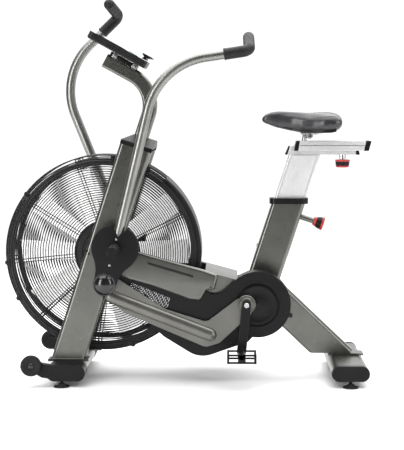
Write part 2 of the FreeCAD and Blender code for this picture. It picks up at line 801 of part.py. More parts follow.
def grille_face():
    """Flat grille: concentric rings crossed by spokes, with a closed hub plate."""
    rings = int(size("grille_rings"))
    spokes = int(size("grille_spokes"))
    inner = size("hub_plate_radius")
    outer = size("ring_radius") - 12.0
    pitch = (outer - inner) / rings
    wire = 2.6
    loops = [circle((0, 0), size("ring_radius")), circle((0, 0), 20.0)]
    for ring in range(rings):
        low = inner + ring * pitch + wire / 2
        high = low + pitch - wire
        for spoke in range(spokes):
            first = math.radians(size("spoke_angle") + 360.0 / spokes * spoke)
            second = first + math.radians(360.0 / spokes)

            def at(radius, angle, offset):
                turn = angle + offset / radius
                return V(radius * math.cos(turn), radius * math.sin(turn), 0)

            middle = (first + second) / 2
            loops.append([
                Part.Arc(at(low, first, 2.5), at(low, middle, 0), at(low, second, -2.5)),
                Part.LineSegment(at(low, second, -2.5), at(high, second, -2.5)),
                Part.Arc(at(high, second, -2.5), at(high, middle, 0), at(high, first, 2.5)),
                Part.LineSegment(at(high, first, 2.5), at(low, first, 2.5))])
    wires = [Part.Wire([curve.toShape() for curve in loop]) for loop in loops]
    return Part.Face(wires, "Part::FaceMakerBullseye")


def grille(low_y):
    """The grille as a plate of the cage, one grille thickness deep."""
    plate = grille_face().extrude(V(0, 0, size("grille_thickness")))
    plate.Placement = FreeCAD.Placement(V(FAN[0], low_y + size("grille_thickness"), FAN[1]), FACING_LEFT)
    return plate


def sector(centre, radius, start, end, low_y, high_y):
    """Wedge of a disc between two angles, as a solid along Y."""
    middle = (start + end) / 2
    points = [polar(centre, radius, angle) for angle in (start, middle, end)]
    a, b, c = [V(point[0], point[1], 0) for point in points]
    middle_point = V(centre[0], centre[1], 0)
    loop = [Part.LineSegment(middle_point, a), Part.Arc(a, b, c), Part.LineSegment(c, middle_point)]
    return slab(low_y, high_y, loop)


def band(inner, outer, start, end, low_y, high_y):
    """Part of a ring between two angles, as a solid along Y."""
    return sector(FAN, outer, start, end, low_y, high_y).cut(drum(*FAN, inner, low_y - 1, high_y + 1))


def make_cage():
    """Flat grilles on both sides, and the hoops and bars that join them round the rim."""
    face = size("cage_face")
    thick = size("grille_thickness")
    outer = size("cage_radius")
    ring = size("ring_radius")
    group("cage_faces", [grille(-face - thick), grille(face)])
    hoop_start = size("shroud_end") + 1.0
    hoop_end = size("shroud_start") + 359.0
    hoop_width = 5.0
    count = 7
    spacing = (2 * face - 2 * hoop_width) / (count - 1)
    hoops = []
    for index in range(count):
        low = -face + 2.0 + index * (spacing - 0.5)
        rim = outer - 12.0 if index in (0, count - 1) else outer
        hoops.append(band(rim - 4.0, rim, hoop_start, hoop_end, low, low + hoop_width))
    bars = []
    for spoke in range(int(size("grille_spokes"))):
        angle = (size("spoke_angle") + 360.0 / size("grille_spokes") * spoke) % 360
        if hoop_start + 4 < angle < hoop_end - 4:
            bars.append(band(ring - 8.0, outer - 4.0, angle - 0.5, angle + 0.5, -face, face))
    for end in (hoop_start + 0.5, hoop_end - 0.5):
        bars.append(band(ring - 8.0, outer - 4.0, end - 0.5, end + 0.5, -face, face))
    feature("cage_hoops", hoops[0].fuse(hoops[1:] + bars))


def make_wind_shroud():
    """Smooth band over the rear rim of the cage, which keeps the wind off the rider."""
    face = size("cage_face")
    outer = size("cage_radius")
    start = size("shroud_start")
    end = size("shroud_end")
    shell = band(outer - 8.0, outer, start, end, -face, face)
    flange = band(size("ring_radius") + 1.0, outer - 4.0, start, end, face - 3.0, face)
    other = band(size("ring_radius") + 1.0, outer - 4.0, start, end, -face, 3.0 - face)
    feature("wind_shroud", shell.fuse([flange, other]).removeSplitter())


def make_fan():
    """Fixed axle, and the hub, bearings, pulley and pitched blades that turn on it."""
    axle = doc.addObject("Part::Cylinder", "fan_axle")
    bind(axle, {"Radius": "Sizes.axle_radius", "Height": "2 * Sizes.upright_inner"})
    axle.Placement = FreeCAD.Placement(V(FAN[0], size("upright_inner"), FAN[1]), FACING_LEFT)
    keep(axle, "fan_axle")
    bearing_outer = 22.0
    bore = size("axle_radius") + size("running_gap")
    hub_half = 56.0
    hub = drum(*FAN, 48.0, -hub_half, hub_half).cut(drum(*FAN, 45.0, -hub_half + 3, hub_half - 3))
    hub = hub.fuse([drum(*FAN, 28.0, -hub_half, -hub_half + 16), drum(*FAN, 28.0, hub_half - 16, hub_half)])
    hub = hub.fuse(drum(*FAN, 14.0, -size("belt_inner"), -hub_half + 2))
    hub = hub.cut([drum(*FAN, bearing_outer, -hub_half, -hub_half + 16),
                   drum(*FAN, bearing_outer, hub_half - 16, hub_half)])
    sleeve = drum(*FAN, 24.0, -hub_half - 4, -hub_half)
    sleeve = sleeve.fuse(drum(*FAN, 14.0, -size("belt_inner"), -hub_half - 4))
    hub = hub.fuse(sleeve).cut(drum(*FAN, bore + 1.0, -size("belt_inner") - 1, hub_half + 1))
    feature("fan_hub", hub.removeSplitter())
    bearings = [drum(*FAN, bearing_outer, low, low + 15.0).cut(drum(*FAN, bore, low, low + 15.0))
                for low in (-hub_half + 0.5, hub_half - 15.5)]
    group("fan_bearings", bearings)
    low = -size("belt_inner") - size("belt_width")
    pulley = drum(*FAN, size("fan_pulley_radius"), low, -size("belt_inner"))
    pulley = pulley.fuse(drum(*FAN, size("fan_pulley_radius") + 4, low - 2.0, low))
    feature("fan_pulley", pulley.cut(drum(*FAN, bore, low - 3, -size("belt_inner") + 1)))
    make_blades()


def make_blades():
    """Spider of pitched sheet blades round a ring that slides over the hub."""
    tip = size("blade_tip")
    width = size("blade_width")
    count = int(size("blade_count"))
    thick = 1.2
    ring = drum(*FAN, 51.0, -30, 30).cut(drum(*FAN, 48.0, -31, 31))
    blade = Part.makeBox(tip - 49.0, width, thick, V(49.0, -width / 2, -thick / 2))
    blade.rotate(V(0, 0, 0), V(1, 0, 0), size("blade_pitch"))
    blade = blade.common(drum(0, 0, tip, -90, 90))
    blades = []
    for index in range(count):
        copy = blade.copy()
        copy.rotate(V(0, 0, 0), V(0, 1, 0), 360.0 / count * index)
        copy.translate(V(FAN[0], 0, FAN[1]))
        blades.append(copy)
    feature("fan_blades", ring.fuse(blades).cut(drum(*FAN, 48.0, -60, 60)))


# ---------------------------------------------------------------- crank and drive

def make_drive_belt():
    """Belt round both pulleys, standing a little off them."""
    gap = 0.4
    low = -size("belt_inner") - size("belt_width") + 1.0
    high = -size("belt_inner") - 1.0
    big = size("crank_pulley_radius") + gap
    small = size("fan_pulley_radius") + gap
    thick = size("belt_thickness")
    belt = slab(low, high, capsule(CRANK, big + thick, FAN, small + thick), capsule(CRANK, big, FAN, small))
    feature("drive_belt", belt)


def make_crank():
    """Axle, pulley, discs with eccentric pins, crank arms and pedal spindles."""
    axle = doc.addObject("Part::Cylinder", "crank_axle")
    bind(axle, {"Radius": "Sizes.axle_radius", "Height": "2 * Sizes.disc_inner"})
    axle.Placement = FreeCAD.Placement(V(CRANK[0], size("disc_inner"), CRANK[1]), FACING_LEFT)
    keep(axle, "crank_axle")
    low = -size("belt_inner") - size("belt_width")
    pulley = drum(*CRANK, size("crank_pulley_radius"), low, -size("belt_inner"))
    holes = [drum(*polar(CRANK, 36.0, 60.0 * index), 12.0, low, -size("belt_inner")) for index in range(6)]
    bore = drum(*CRANK, size("axle_radius"), low, -size("belt_inner"))
    feature("crank_pulley", pulley.cut(holes + [bore]))
    discs = []
    arms = []
    spindles = []
    for side in (LEFT, RIGHT):
        pin = crank_pin(side)
        pedal = pedal_axle(side)
        disc = side_drum(side, *CRANK, size("disc_radius"), size("disc_inner"), size("disc_outer"))
        dimples = [side_drum(side, *polar(CRANK, 42.0, size("pin_angle") + 45 + 90 * index), 4.0,
                             size("disc_outer") - 6, size("disc_outer") + 1) for index in range(4)]
        pin_shaft = side_drum(side, *pin, 10.0, size("disc_outer"), size("crank_arm_inner"))
        discs.append(disc.cut(dimples).fuse(pin_shaft))
        outer = size("crank_arm_outer")
        arm = side_slab(side, size("crank_arm_inner"), outer, capsule(pin, 17.0, pedal, 17.5))
        arm = arm.fuse(side_drum(side, *pin, 11.0, outer, outer + 3))
        arms.append(arm)
        spindles.append(side_drum(side, *pedal, 7.0, size("crank_arm_outer"), 326.0))
    group("crank_discs", discs)
    group("crank_arms", arms)
    group("pedal_spindles", spindles)
    bore = size("axle_radius") + size("running_gap")
    bearings = [drum(*CRANK, 21.0, y, y + 14.0).cut(drum(*CRANK, bore, y, y + 14.0)) for y in (-44.0, 30.0)]
    group("crank_bearings", bearings)


PEDAL_DROP = 8.0


def make_pedals():
    """Platform pedals that hang a little below the spindles they turn on."""
    length = 108.0
    width = 96.0
    inner = 231.0
    thickness = 34.0
    for side, label in ((LEFT, "pedal_left"), (RIGHT, "pedal_right")):
        x, z = pedal_axle(side)
        middle = side * (inner + width / 2)
        loops = [rectangle(length, width, 12.0)]
        for end in (-1, 1):
            for row in (-1, 1):
                loops.append(rectangle(26.0, 34.0, 4.0, (end * 29.0, row * 22.0)))
        place = FreeCAD.Placement(V(x, middle, z - PEDAL_DROP - thickness / 2), FreeCAD.Rotation())
        platform = padded_body(label + "_platform", loops, f"{thickness} mm", place)
        bore = doc.addObject("Part::Cylinder", label + "_bore")
        bind(bore, {"Radius": "7 + Sizes.running_gap", "Height": "200 mm"})
        bore.Placement = FreeCAD.Placement(V(x, middle + 100, z), FACING_LEFT)
        keep(boolean("Part::Cut", label, platform, bore), label)


# ---------------------------------------------------------------- swinging arms

def conrod_shape():
    """Cranked connecting rod in its left rest pose, with the big end at the origin.

    A flat plate runs from the eye to the big end; a half-round bar stiffens its long limb.
    """
    inner = size("rod_inner")
    outer = size("rod_outer")
    plate_outer = inner + 6.0
    eye = (LEFT_EYE[0] - crank_pin(LEFT)[0], LEFT_EYE[1] - crank_pin(LEFT)[1])
    bar_start = (-455.0, 14.0)
    bar_end = (-137.0, -113.6)
    limb = side_slab(LEFT, inner, plate_outer, outline(
        (eye[0] - 22, eye[1] - 24), (-446, -34, 30), (-150, -160, 34), (-98, -144, 26), (23, -25),
        (-23, 25), (-146, -66, 30), (-300, -18, 90), (eye[0] + 32, eye[1] + 12)))
    ends = [side_drum(LEFT, x, z, 34.0, inner, plate_outer) for x, z in (eye, (0, 0))]
    rod = limb.fuse(ends)
    middle_y = -inner - 4.0
    start = V(bar_start[0], middle_y, bar_start[1])
    end = V(bar_end[0], middle_y, bar_end[1])
    radius = outer - inner - 4.0
    bar = Part.makeCylinder(radius, (end - start).Length, start, end - start)
    bar = bar.fuse([Part.makeSphere(radius, start), Part.makeSphere(radius, end)])
    bar = bar.cut(block((-600, -inner, -300), (200, 0, 300)))
    rod = rod.fuse([bar, side_drum(LEFT, 0, 0, 30.0, inner, outer),
                    side_drum(LEFT, *eye, 22.0, inner, inner + 14)])
    rod = rod.cut([side_drum(LEFT, 0, 0, 10.0 + size("running_gap"), inner - 1, outer + 1),
                   side_drum(LEFT, *eye, 9.0, inner - 1, outer + 1)])
    return rod.removeSplitter()


def make_conrods():
    """Connecting rods from the eccentric pins to the arm levers."""
    left = conrod_shape()
    right = mirrored(left)
    right.rotate(V(0, 0, 0), V(0, 1, 0), -ROD_TILT)
    left.translate(V(crank_pin(LEFT)[0], 0, crank_pin(LEFT)[1]))
    right.translate(V(crank_pin(RIGHT)[0], 0, crank_pin(RIGHT)[1]))
    feature("conrod_left", left)
    feature("conrod_right", right)


def arm_path(start_rise):
    """Centre line of the left arm: straight, one long bend, a grip and its inward end."""
    plane = -size("arm_plane")
    up = 90 - size("arm_lean")
    start = polar(PIVOT, start_rise, up)
    bend = polar(PIVOT, size("arm_rise"), up)
    elbow = polar(bend, 330.0, 8.6)
    end = (elbow[0] - 2.0, elbow[1] + 50.0)
    return [(V(start[0], plane, start[1]), 0), (V(bend[0], plane, bend[1]), size("arm_bend")),
            (V(elbow[0], plane, elbow[1]), 25.0), (V(end[0], plane + 90.0, end[1]), 0)]


def arm_tube_shape():
    """Left arm tube with its hub sleeve, its lever and the ball at the lever's end."""
    radius = size("arm_tube_radius")
    tube = pipe(arm_path(22.0), radius)
    core = pipe(arm_path(60.0), radius - 2.5)
    inner = size("arm_inner")
    sleeve = side_drum(LEFT, *PIVOT, 27.0, inner, 240.0)
    lever = side_slab(LEFT, inner, inner + 8.0, capsule(PIVOT, 30.0, LEFT_EYE, 20.0))
    stud = side_drum(LEFT, *LEFT_EYE, 9.0, inner + 8.0, 238.0)
    shape = tube.cut(core).fuse([sleeve, lever, stud])
    return shape.cut(side_drum(LEFT, *PIVOT, 12.0 + size("running_gap"), inner - 1, 245.0)).removeSplitter()


def grip_shape():
    """Left rubber grip: a sleeve over the tube's end, closed by a dome."""
    path = arm_path(22.0)
    bend = path[1][0]
    elbow = path[2][0]
    heading = (elbow - bend).normalize()
    start = elbow - heading * 93.0
    radius = size("grip_radius")
    sleeve = pipe([(start, 0), path[2], path[3]], radius)
    sleeve = sleeve.fuse(Part.makeSphere(radius, path[3][0]))
    return sleeve.cut(pipe([(start - heading * 20, 0), path[2], path[3]], size("arm_tube_radius")))


def waisted(first, first_radius, second, second_radius, waist_radius):
    """Outline of two circles joined by arcs that curve inwards and touch both."""
    a = V(first[0], first[1], 0)
    b = V(second[0], second[1], 0)
    gap = (b - a).Length
    along = (b - a).normalize()
    reach_a = first_radius + waist_radius
    reach_b = second_radius + waist_radius
    run = (reach_a ** 2 - reach_b ** 2 + gap ** 2) / (2 * gap)
    rise = math.sqrt(reach_a ** 2 - run ** 2)
    contacts = []
    for sign in (1, -1):
        across = V(-along.y, along.x, 0) * sign
        centre = a + along * run + across * rise
        on_a = a + (centre - a).normalize() * first_radius
        on_b = b + (centre - b).normalize() * second_radius
        middle = centre + ((on_a + on_b) * 0.5 - centre).normalize() * waist_radius
        contacts.append((on_a, middle, on_b))
    (left_a, left_middle, left_b), (right_a, right_middle, right_b) = contacts
    return [Part.Arc(left_a, a - along * first_radius, right_a), Part.Arc(right_a, right_middle, right_b),
            Part.Arc(right_b, b + along * second_radius, left_b), Part.Arc(left_b, left_middle, left_a)]


def arm_cover_shape():
    """Left waisted cover: a face and rim round the hub and lever, with a domed end."""
    inner = size("arm_inner")
    outer = size("arm_outer")
    wall = 2.4
    disc = size("cover_disc")
    tail = size("cover_tail")
    waist = size("cover_waist")
    full = side_slab(LEFT, inner, outer, waisted(PIVOT, disc, LEFT_EYE, tail, waist))
    hollow = side_slab(LEFT, inner - 1, outer - wall,
                       waisted(PIVOT, disc - wall, LEFT_EYE, tail - wall, waist + wall))
    dome_radius = 52.0
    dome = Part.makeSphere(dome_radius, V(LEFT_EYE[0], -outer + 37.0, LEFT_EYE[1]))
    dome = dome.common(side_drum(LEFT, *LEFT_EYE, tail - 3.0, outer - wall, outer + 20))
    shell = full.cut(hollow).fuse(dome)
    up = 90 - size("arm_lean")
    notch_start = polar(PIVOT, 46.0, up)
    notch_end = polar(PIVOT, disc + 20.0, up)
    half_start = 18.0
    half_end = 30.0
    corners = [polar(notch_start, half_start, up - 90), polar(notch_end, half_end, up - 90),
               polar(notch_end, half_end, up + 90), polar(notch_start, half_start, up + 90)]
    notch = side_slab(LEFT, inner - 1, outer + 1, outline(*corners))
    hole = side_drum(LEFT, *PIVOT, 13.5, inner, outer + 1)
    return shell.cut([notch, hole]).removeSplitter()


def make_arms():
    """Left parts at their rearmost swing; right parts mirrored and at the foremost."""
    makers = {"arm_tube": arm_tube_shape, "grip": grip_shape, "arm_cover": arm_cover_shape}
    for name, maker in makers.items():
        left = maker()
        right = mirrored(left)
        right.rotate(V(PIVOT[0], 0, PIVOT[1]), V(0, 1, 0), -ARM_SWING)
        feature(name + "_left", left)
        feature(name + "_right", right)


def make_foot_pegs():
    """Pivot shafts of the arms, whose outer ends are foot pegs."""
    pegs = []
    for side in (LEFT, RIGHT):
        flange = side_drum(side, *PIVOT, 18.0, size("upright_outer"), size("upright_outer") + 8)
        shaft = side_drum(side, *PIVOT, 12.0, size("upright_outer"), size("arm_outer") + 1)
        peg = side_drum(side, *PIVOT, 19.0, size("arm_outer") + 1, size("peg_outer"))
        bore = side_drum(side, *PIVOT, 16.0, size("arm_outer") + 6, size("peg_outer") + 1)
        pegs.append(flange.fuse([shaft, peg]).cut(bore).removeSplitter())
    group("foot_pegs", pegs)


# ---------------------------------------------------------------- seat

def make_seat_post():
    """Rectangular post in the seat tube, with the fixed rail welded across its top."""
    top = (size("rail_bottom") - CRANK[1]) / math.cos(math.radians(LEAN))
    insertion = 200.0
    start = polar(CRANK, SEAT_RISE - insertion, ALONG_LEAN)
    wall = 3.0
    width = size("post_width")
    thick = size("post_thickness")
    loops = [rectangle(width, thick, 8.0), rectangle(width - 2 * wall, thick - 2 * wall, 5.0)]
    length = top - SEAT_RISE + insertion + 24.0
    post = padded_body("seat_post_tube", loops, f"{length} mm", leaning(start, LEAN))
    above = doc.addObject("Part::Box", "above_post")
    bind(above, {"Length": "400 mm", "Width": "100 mm", "Height": "100 mm"})
    above.Placement = FreeCAD.Placement(V(250, -50, size("rail_bottom") + 5), FreeCAD.Rotation())
    level = boolean("Part::Cut", "seat_post_level", post, above)
    low = size("rail_bottom")
    high = size("rail_top")
    front = size("slider_rear") - size("slider_length") - 32.0
    rear = size("slider_rear") - 42.0
    rail_loop = outline((front, low + 3), (front + 6, low), (rear, low),
                        (rear - 6, high), (front + 14, high))
    half = 22.0
    facing = FreeCAD.Placement(V(0, half, 0), FACING_LEFT)
    rail = padded_body("seat_rail", [rail_loop], f"{2 * half} mm", facing)
    joined = boolean("Part::Fuse", "seat_post_joined", level, rail)
    barrel = doc.addObject("Part::Cylinder", "slider_barrel")
    bind(barrel, {"Radius": "13 mm", "Height": "Sizes.slider_barrel_length + 1"})
    bottom = size("rail_bottom") - size("slider_barrel_length")
    barrel.Placement = FreeCAD.Placement(V(size("slider_knob_x"), 0, bottom), FreeCAD.Rotation())
    with_barrel = boolean("Part::Fuse", "seat_post_with_barrel", joined, barrel)
    guide = doc.addObject("Part::Cylinder", "slider_guide")
    bind(guide, {"Radius": "Sizes.plunger_radius + Sizes.running_gap", "Height": "100 mm"})
    guide.Placement = FreeCAD.Placement(V(size("slider_knob_x"), 0, bottom - 5), FreeCAD.Rotation())
    keep(boolean("Part::Cut", "seat_post", with_barrel, guide), "seat_post")


SADDLE_PIVOT = (455.0, 911.0)


def make_seat_slider():
    """Inverted channel that slides on the fixed rail, with the saddle's stem."""
    low = size("slider_bottom")
    high = size("slider_top")
    rear = size("slider_rear")
    front = rear - size("slider_length")
    half = 35.0
    bar = slab(-half, half, outline((front, low), (rear - 10, low), (rear, high, 3), (front + 10, high, 3)))
    channel = block((front - 20, -22.8, low - 1), (rear + 20, 22.8, size("rail_top") + 1.0))
    stem = Part.makeCylinder(11.0, 26.0, V(437, 0, high - 4))
    clamp = drum(*SADDLE_PIVOT, 10.0, -17, 17).fuse(block((430, -13, 902), (462, 13, 914)))
    bar = bar.cut(channel).fuse([stem, clamp])
    bar = bar.cut(drum(*SADDLE_PIVOT, 5.0 + size("running_gap"), -20, 20))
    feature("seat_slider", bar.removeSplitter())


def make_saddle():
    """Plain solid of the saddle: its plan outline cut to its side outline."""
    nose = 273.0
    rear = 581.0
    plan = outline((nose, -20, 18), (nose + 120, -40, 120), (rear - 90, -112, 50), (rear, -98, 40),
                   (rear, 98, 40), (rear - 90, 112, 50), (nose + 120, 40, 120), (nose, 20, 18))
    plan_solid = flat_face(plan).extrude(V(0, 0, 90))
    plan_solid.translate(V(0, 0, 920))
    profile = slab(-130, 130, outline((nose, 962, 6), (nose + 30, 996, 22), (430, 988, 200), (540, 996, 30),
                                      (rear, 966, 20), (rear - 12, 938, 10), (520, 932, 20),
                                      (400, 934, 60), (nose + 10, 952, 8)))
    ears = [side_slab(side, 17.5, 22.0, capsule((SADDLE_PIVOT[0], 944.0), 16.0, SADDLE_PIVOT, 11.0))
            for side in (LEFT, RIGHT)]
    bolt = drum(*SADDLE_PIVOT, 5.0, -20, 20)
    feature("saddle", plan_solid.common(profile).fuse(ears + [bolt]).removeSplitter())


def knob_profile(nose, barrel, neck, grip, grip_length):
    """Pull knob along +Z: a plunger from its nose to the barrel's end, then a flared grip."""
    plunger = size("plunger_radius")
    low = barrel + 0.5
    end = low + grip_length
    return outline((0, nose), (plunger, nose), (plunger, low), (neck, low), (grip, low + 8, 2),
                   (grip - 3, end, 3), (0, end))


def make_knobs():
    """Sprung pull knobs that lock the seat post and the slider."""
    profile = knob_profile(-2.8, size("barrel_length"), 14.0, 27.0, 36.0)
    keep(turned_body("post_knob", profile, leaning(KNOB_SEAT, 90 + LEAN)), "post_knob")
    nose = size("rail_bottom") - size("rail_top") + 3.0
    profile = knob_profile(nose, size("slider_barrel_length"), 20.0, 28.0, 32.0)
    down = leaning((size("slider_knob_x"), size("rail_bottom")), 180)
    keep(turned_body("slider_knob", profile, down), "slider_knob")


# ---------------------------------------------------------------- console

CONSOLE = FreeCAD.Placement(V(size("console_x"), 0, size("console_z")),
                            FreeCAD.Rotation(V(0, 1, 0), size("console_tilt")))
BUTTONS = {"start_button": (62.0, -32.0), "stop_button": (62.0, 32.0)}
BUTTON_RADIUS = 9.0


def on_console(x, y, z):
    """Placement at a point of the console's own frame: origin mid top face, Z outward."""
    return CONSOLE * FreeCAD.Placement(V(x, y, z), FreeCAD.Rotation())


def make_console():
    """Housing with a window recess and button wells, its lens, brackets and buttons."""
    length = size("console_length")
    width = size("console_width")
    thick = size("console_thickness")
    housing = flat_face(rectangle(length, width, 16.0)).extrude(V(0, 0, -thick))
    rim = [edge for edge in housing.Edges if abs(edge.CenterOfMass.z + thick) < 0.1]
    housing = housing.makeChamfer(5.0, rim)
    recess = flat_face(rectangle(118.0, 124.0, 6.0, (-38.0, 0.0)))
    housing = housing.cut(recess.extrude(V(0, 0, -2.0)))
    for x, y in BUTTONS.values():
        housing = housing.cut(Part.makeCylinder(BUTTON_RADIUS + 0.4, 7.0, V(x, y, -7.0)))
    shell = feature("console_housing", housing)
    shell.Placement = CONSOLE
    pane = [rectangle(117.0, 123.0, 5.5)]
    keep(padded_body("console_lens", pane, "1.8 mm", on_console(-38.0, 0.0, -2.0)), "console_lens")
    button = outline((0, 0), (BUTTON_RADIUS, 0), (BUTTON_RADIUS, 5.6, 1.0), (0, 5.6))
    for label, (x, y) in BUTTONS.items():
        keep(turned_body(label, button, on_console(x, y, -4.0)), label)
    make_console_brackets()


def mast_tip():
    """End of the console mast's centre line."""
    foot = polar(FAN, size("upright_rise") + size("bridge_height"), ALONG_LEAN)
    bend = polar(foot, size("mast_rise"), ALONG_LEAN)
    return foot, bend, polar(bend, size("mast_reach"), 180 - size("console_tilt"))


def mast_face():
    """Height of the mast's top face in the console's own frame (negative, below it)."""
    tip = mast_tip()[2]
    local = CONSOLE.inverse().multVec(V(tip[0], 0, tip[1]))
    return local.z + size("mast_depth") / 2


def make_console_brackets():
    """Plate between the mast and the housing, and the ledge that holds a phone."""
    thick = size("console_thickness")
    plate = block((-20, -30, mast_face()), (92, 30, -thick))
    tabs = [block((x, side * 37.0 - 2, -thick - 20), (x + 18, side * 37.0 + 2, -thick - 0.5))
            for x in (-8, 74) for side in (LEFT, RIGHT)]
    bridge = block((-8, -39, -thick - 3), (92, 39, -thick))
    bracket = plate.fuse([bridge] + tabs)
    ledge_face = flat_face(outline((92, 0), (111, 0), (108, 9), (128, 16),
                                   (127, 20), (88, 20), (87, 16), (98, 9)))
    ledge = ledge_face.extrude(V(0, 0, 110))
    ledge.Placement = FreeCAD.Placement(V(0, 55, 0), FACING_LEFT)
    item = group("console_brackets", [bracket.removeSplitter(), ledge])
    item.Placement = CONSOLE


# ---------------------------------------------------------------- fasteners

def hex_head(side, x, z, inner, across=9.0, height=4.0):
    """Hexagon head of one screw, standing on a face beside the frame."""
    corners = [polar((x, z), across / math.sqrt(3), 60 * index) for index in range(6)]
    return side_slab(side, inner, inner + height, outline(*corners))


def make_frame_bolts():
    """Guard screws, fan axle bolts, and the spacers that bolt the cage to the uprights."""
    bolts = []
    for side in (LEFT, RIGHT):
        radius = size("guard_radius") if side == LEFT else size("right_guard_radius")
        for angle in (113.0, 268.0):
            bolts.append(hex_head(side, *polar(CRANK, radius - 9, angle), size("guard_outer"), 7.0))
        bolts.append(hex_head(side, 161.0, 152.0, size("guard_outer")))
        bolts.append(hex_head(side, *polar(CRANK, radius + 4, -18.0), size("guard_outer")))
        bolts.append(hex_head(side, *FAN, size("upright_outer"), 24.0, 8.0))
        cage = size("cage_face") + size("grille_thickness")
        for rise in (-334.0, -108.0, 108.0, 334.0):
            seat = polar(FAN, rise, ALONG_LEAN)
            bolts.append(side_drum(side, *seat, 7.0, cage, size("upright_inner")))
    group("frame_bolts", bolts)


# ---------------------------------------------------------------- build, check, write

def build():
    trim = floor_block()
    make_stabilizers()
    make_rear_caps()
    make_front_boots()
    make_wheels()
    make_feet()
    make_uprights(trim)
    make_top_bridge()
    make_console_mast()
    make_side_rails()
    make_cross_beam()
    make_seat_tube()
    make_rear_leg(trim)
    make_collar()
    make_chain_guards()
    make_side_covers()
    make_cage()
    make_wind_shroud()
    make_fan()
    make_drive_belt()
    make_crank()
    make_pedals()
    make_conrods()
    make_arms()
    make_foot_pegs()
    make_seat_post()
    make_seat_slider()
    make_saddle()
    make_knobs()
    make_console()
    make_frame_bolts()


def check_and_write():
    doc.recompute()
    for item in doc.Objects:
        if "Invalid" in item.State or "Error" in item.State:
            raise RuntimeError(f"{item.Label} failed: {item.State}")
    for label, item in parts.items():
        if item.Shape.isNull() or not item.Shape.isValid():
            raise RuntimeError(f"{label} has no valid shape")
    os.makedirs("parts", exist_ok=True)
    for label, item in parts.items():
        item.Shape.exportStep(f"parts/{label}.step")
    print(f"{len(parts)} sub-parts written; arm swing {ARM_SWING:.3f} deg, rod length {ROD_LENGTH:.2f} mm")


build()
check_and_write()
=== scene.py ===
import json
import math
import bmesh
import bpy
from mathutils import Euler, Matrix, Vector


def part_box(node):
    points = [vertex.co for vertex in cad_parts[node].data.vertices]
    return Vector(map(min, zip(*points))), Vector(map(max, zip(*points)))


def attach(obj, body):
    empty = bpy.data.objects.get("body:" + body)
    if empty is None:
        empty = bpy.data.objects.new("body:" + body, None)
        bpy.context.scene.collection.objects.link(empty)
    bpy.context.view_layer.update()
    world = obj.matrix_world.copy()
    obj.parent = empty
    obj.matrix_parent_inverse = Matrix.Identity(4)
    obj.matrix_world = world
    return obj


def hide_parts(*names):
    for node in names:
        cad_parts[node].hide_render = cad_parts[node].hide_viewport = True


# Air bike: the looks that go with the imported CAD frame. Shapes are worked out in millimetres,
# with +X to the rear and +Z up; LEFT, the near side, is -Y. A side view point is (x, z).

MM = 0.001
LEFT = -1
RIGHT = 1
SIDES = ((LEFT, "left"), (RIGHT, "right"))

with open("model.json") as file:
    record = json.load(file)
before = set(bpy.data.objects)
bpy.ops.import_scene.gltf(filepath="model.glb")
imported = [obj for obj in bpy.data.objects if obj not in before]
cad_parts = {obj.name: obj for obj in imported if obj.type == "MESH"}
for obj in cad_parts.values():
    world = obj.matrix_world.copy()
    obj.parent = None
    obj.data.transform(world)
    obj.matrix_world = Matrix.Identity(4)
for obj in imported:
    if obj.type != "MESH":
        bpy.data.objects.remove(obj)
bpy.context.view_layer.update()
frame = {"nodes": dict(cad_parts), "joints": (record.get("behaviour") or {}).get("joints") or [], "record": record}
scene = bpy.context.scene

JOINTS = {joint["name"]: joint for joint in frame["joints"]}


def joint_at(name):
    """A joint's place in the side view, in millimetres."""
    place = JOINTS[name]["pos_m"]
    return place[0] / MM, place[2] / MM


FAN = joint_at("fan_spin")
CRANK = joint_at("crank_spin")
PIVOT = joint_at("left_arm_swing")
PIN = {LEFT: joint_at("left_rod_turn"), RIGHT: joint_at("right_rod_turn")}
PEDAL = {LEFT: joint_at("left_pedal_spin"), RIGHT: joint_at("right_pedal_spin")}
# The right arm is the left one mirrored and turned by this.
ARM_SWING = JOINTS["right_arm_swing"]["range_deg"][1]
# The uprights and the seat tube lean back from the vertical by this.
LEAN = 18.0
UP_LEAN = 90 - LEAN


def leaning_x(start, z):
    """Where a line through a side view point, leaning back like the seat tube, is at a height."""
    return start[0] + (z - start[1]) * math.tan(math.radians(LEAN))


def limits(node):
    """Lowest and highest corner of a CAD node, in millimetres."""
    low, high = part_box(node)
    return low / MM, high / MM


# ---- points and paths

def polar(centre, radius, angle):
    """Side view point at a radius and angle (from +X towards +Z) from a centre."""
    return (centre[0] + radius * math.cos(math.radians(angle)),
            centre[1] + radius * math.sin(math.radians(angle)))


def arc(centre, radius, start, end, steps):
    """Side view points along an arc."""
    return [polar(centre, radius, start + (end - start) * i / steps) for i in range(steps + 1)]


def circle(centre, radius, steps):
    """Side view points round a full circle."""
    return arc(centre, radius, 0, 360, steps)[:-1]


def rounded(points, closed=True, step=7.0):
    """Points along straight runs whose corners, given as (*point, radius), are arcs."""
    dense = []
    count = len(points)
    for index, point in enumerate(points):
        size = len(points[0]) - 1
        corner = Vector(point[:size])
        radius = point[size]
        if radius <= 0 or (not closed and index in (0, count - 1)):
            dense.append(corner)
            continue
        toward = (Vector(points[index - 1][:size]) - corner).normalized()
        onward = (Vector(points[(index + 1) % count][:size]) - corner).normalized()
        half = toward.angle(onward) / 2
        reach = radius / math.tan(half)
        middle = (toward + onward).normalized()
        centre = corner + middle * radius / math.sin(half)
        first = corner + toward * reach - centre
        last = corner + onward * reach - centre
        turn = math.pi - 2 * half
        steps = max(2, math.ceil(math.degrees(turn) / step))
        for k in range(steps + 1):
            t = k / steps
            spot = (first * math.sin((1 - t) * turn) + last * math.sin(t * turn)) / math.sin(turn)
            dense.append(centre + spot)
    return [tuple(p) for p in dense]


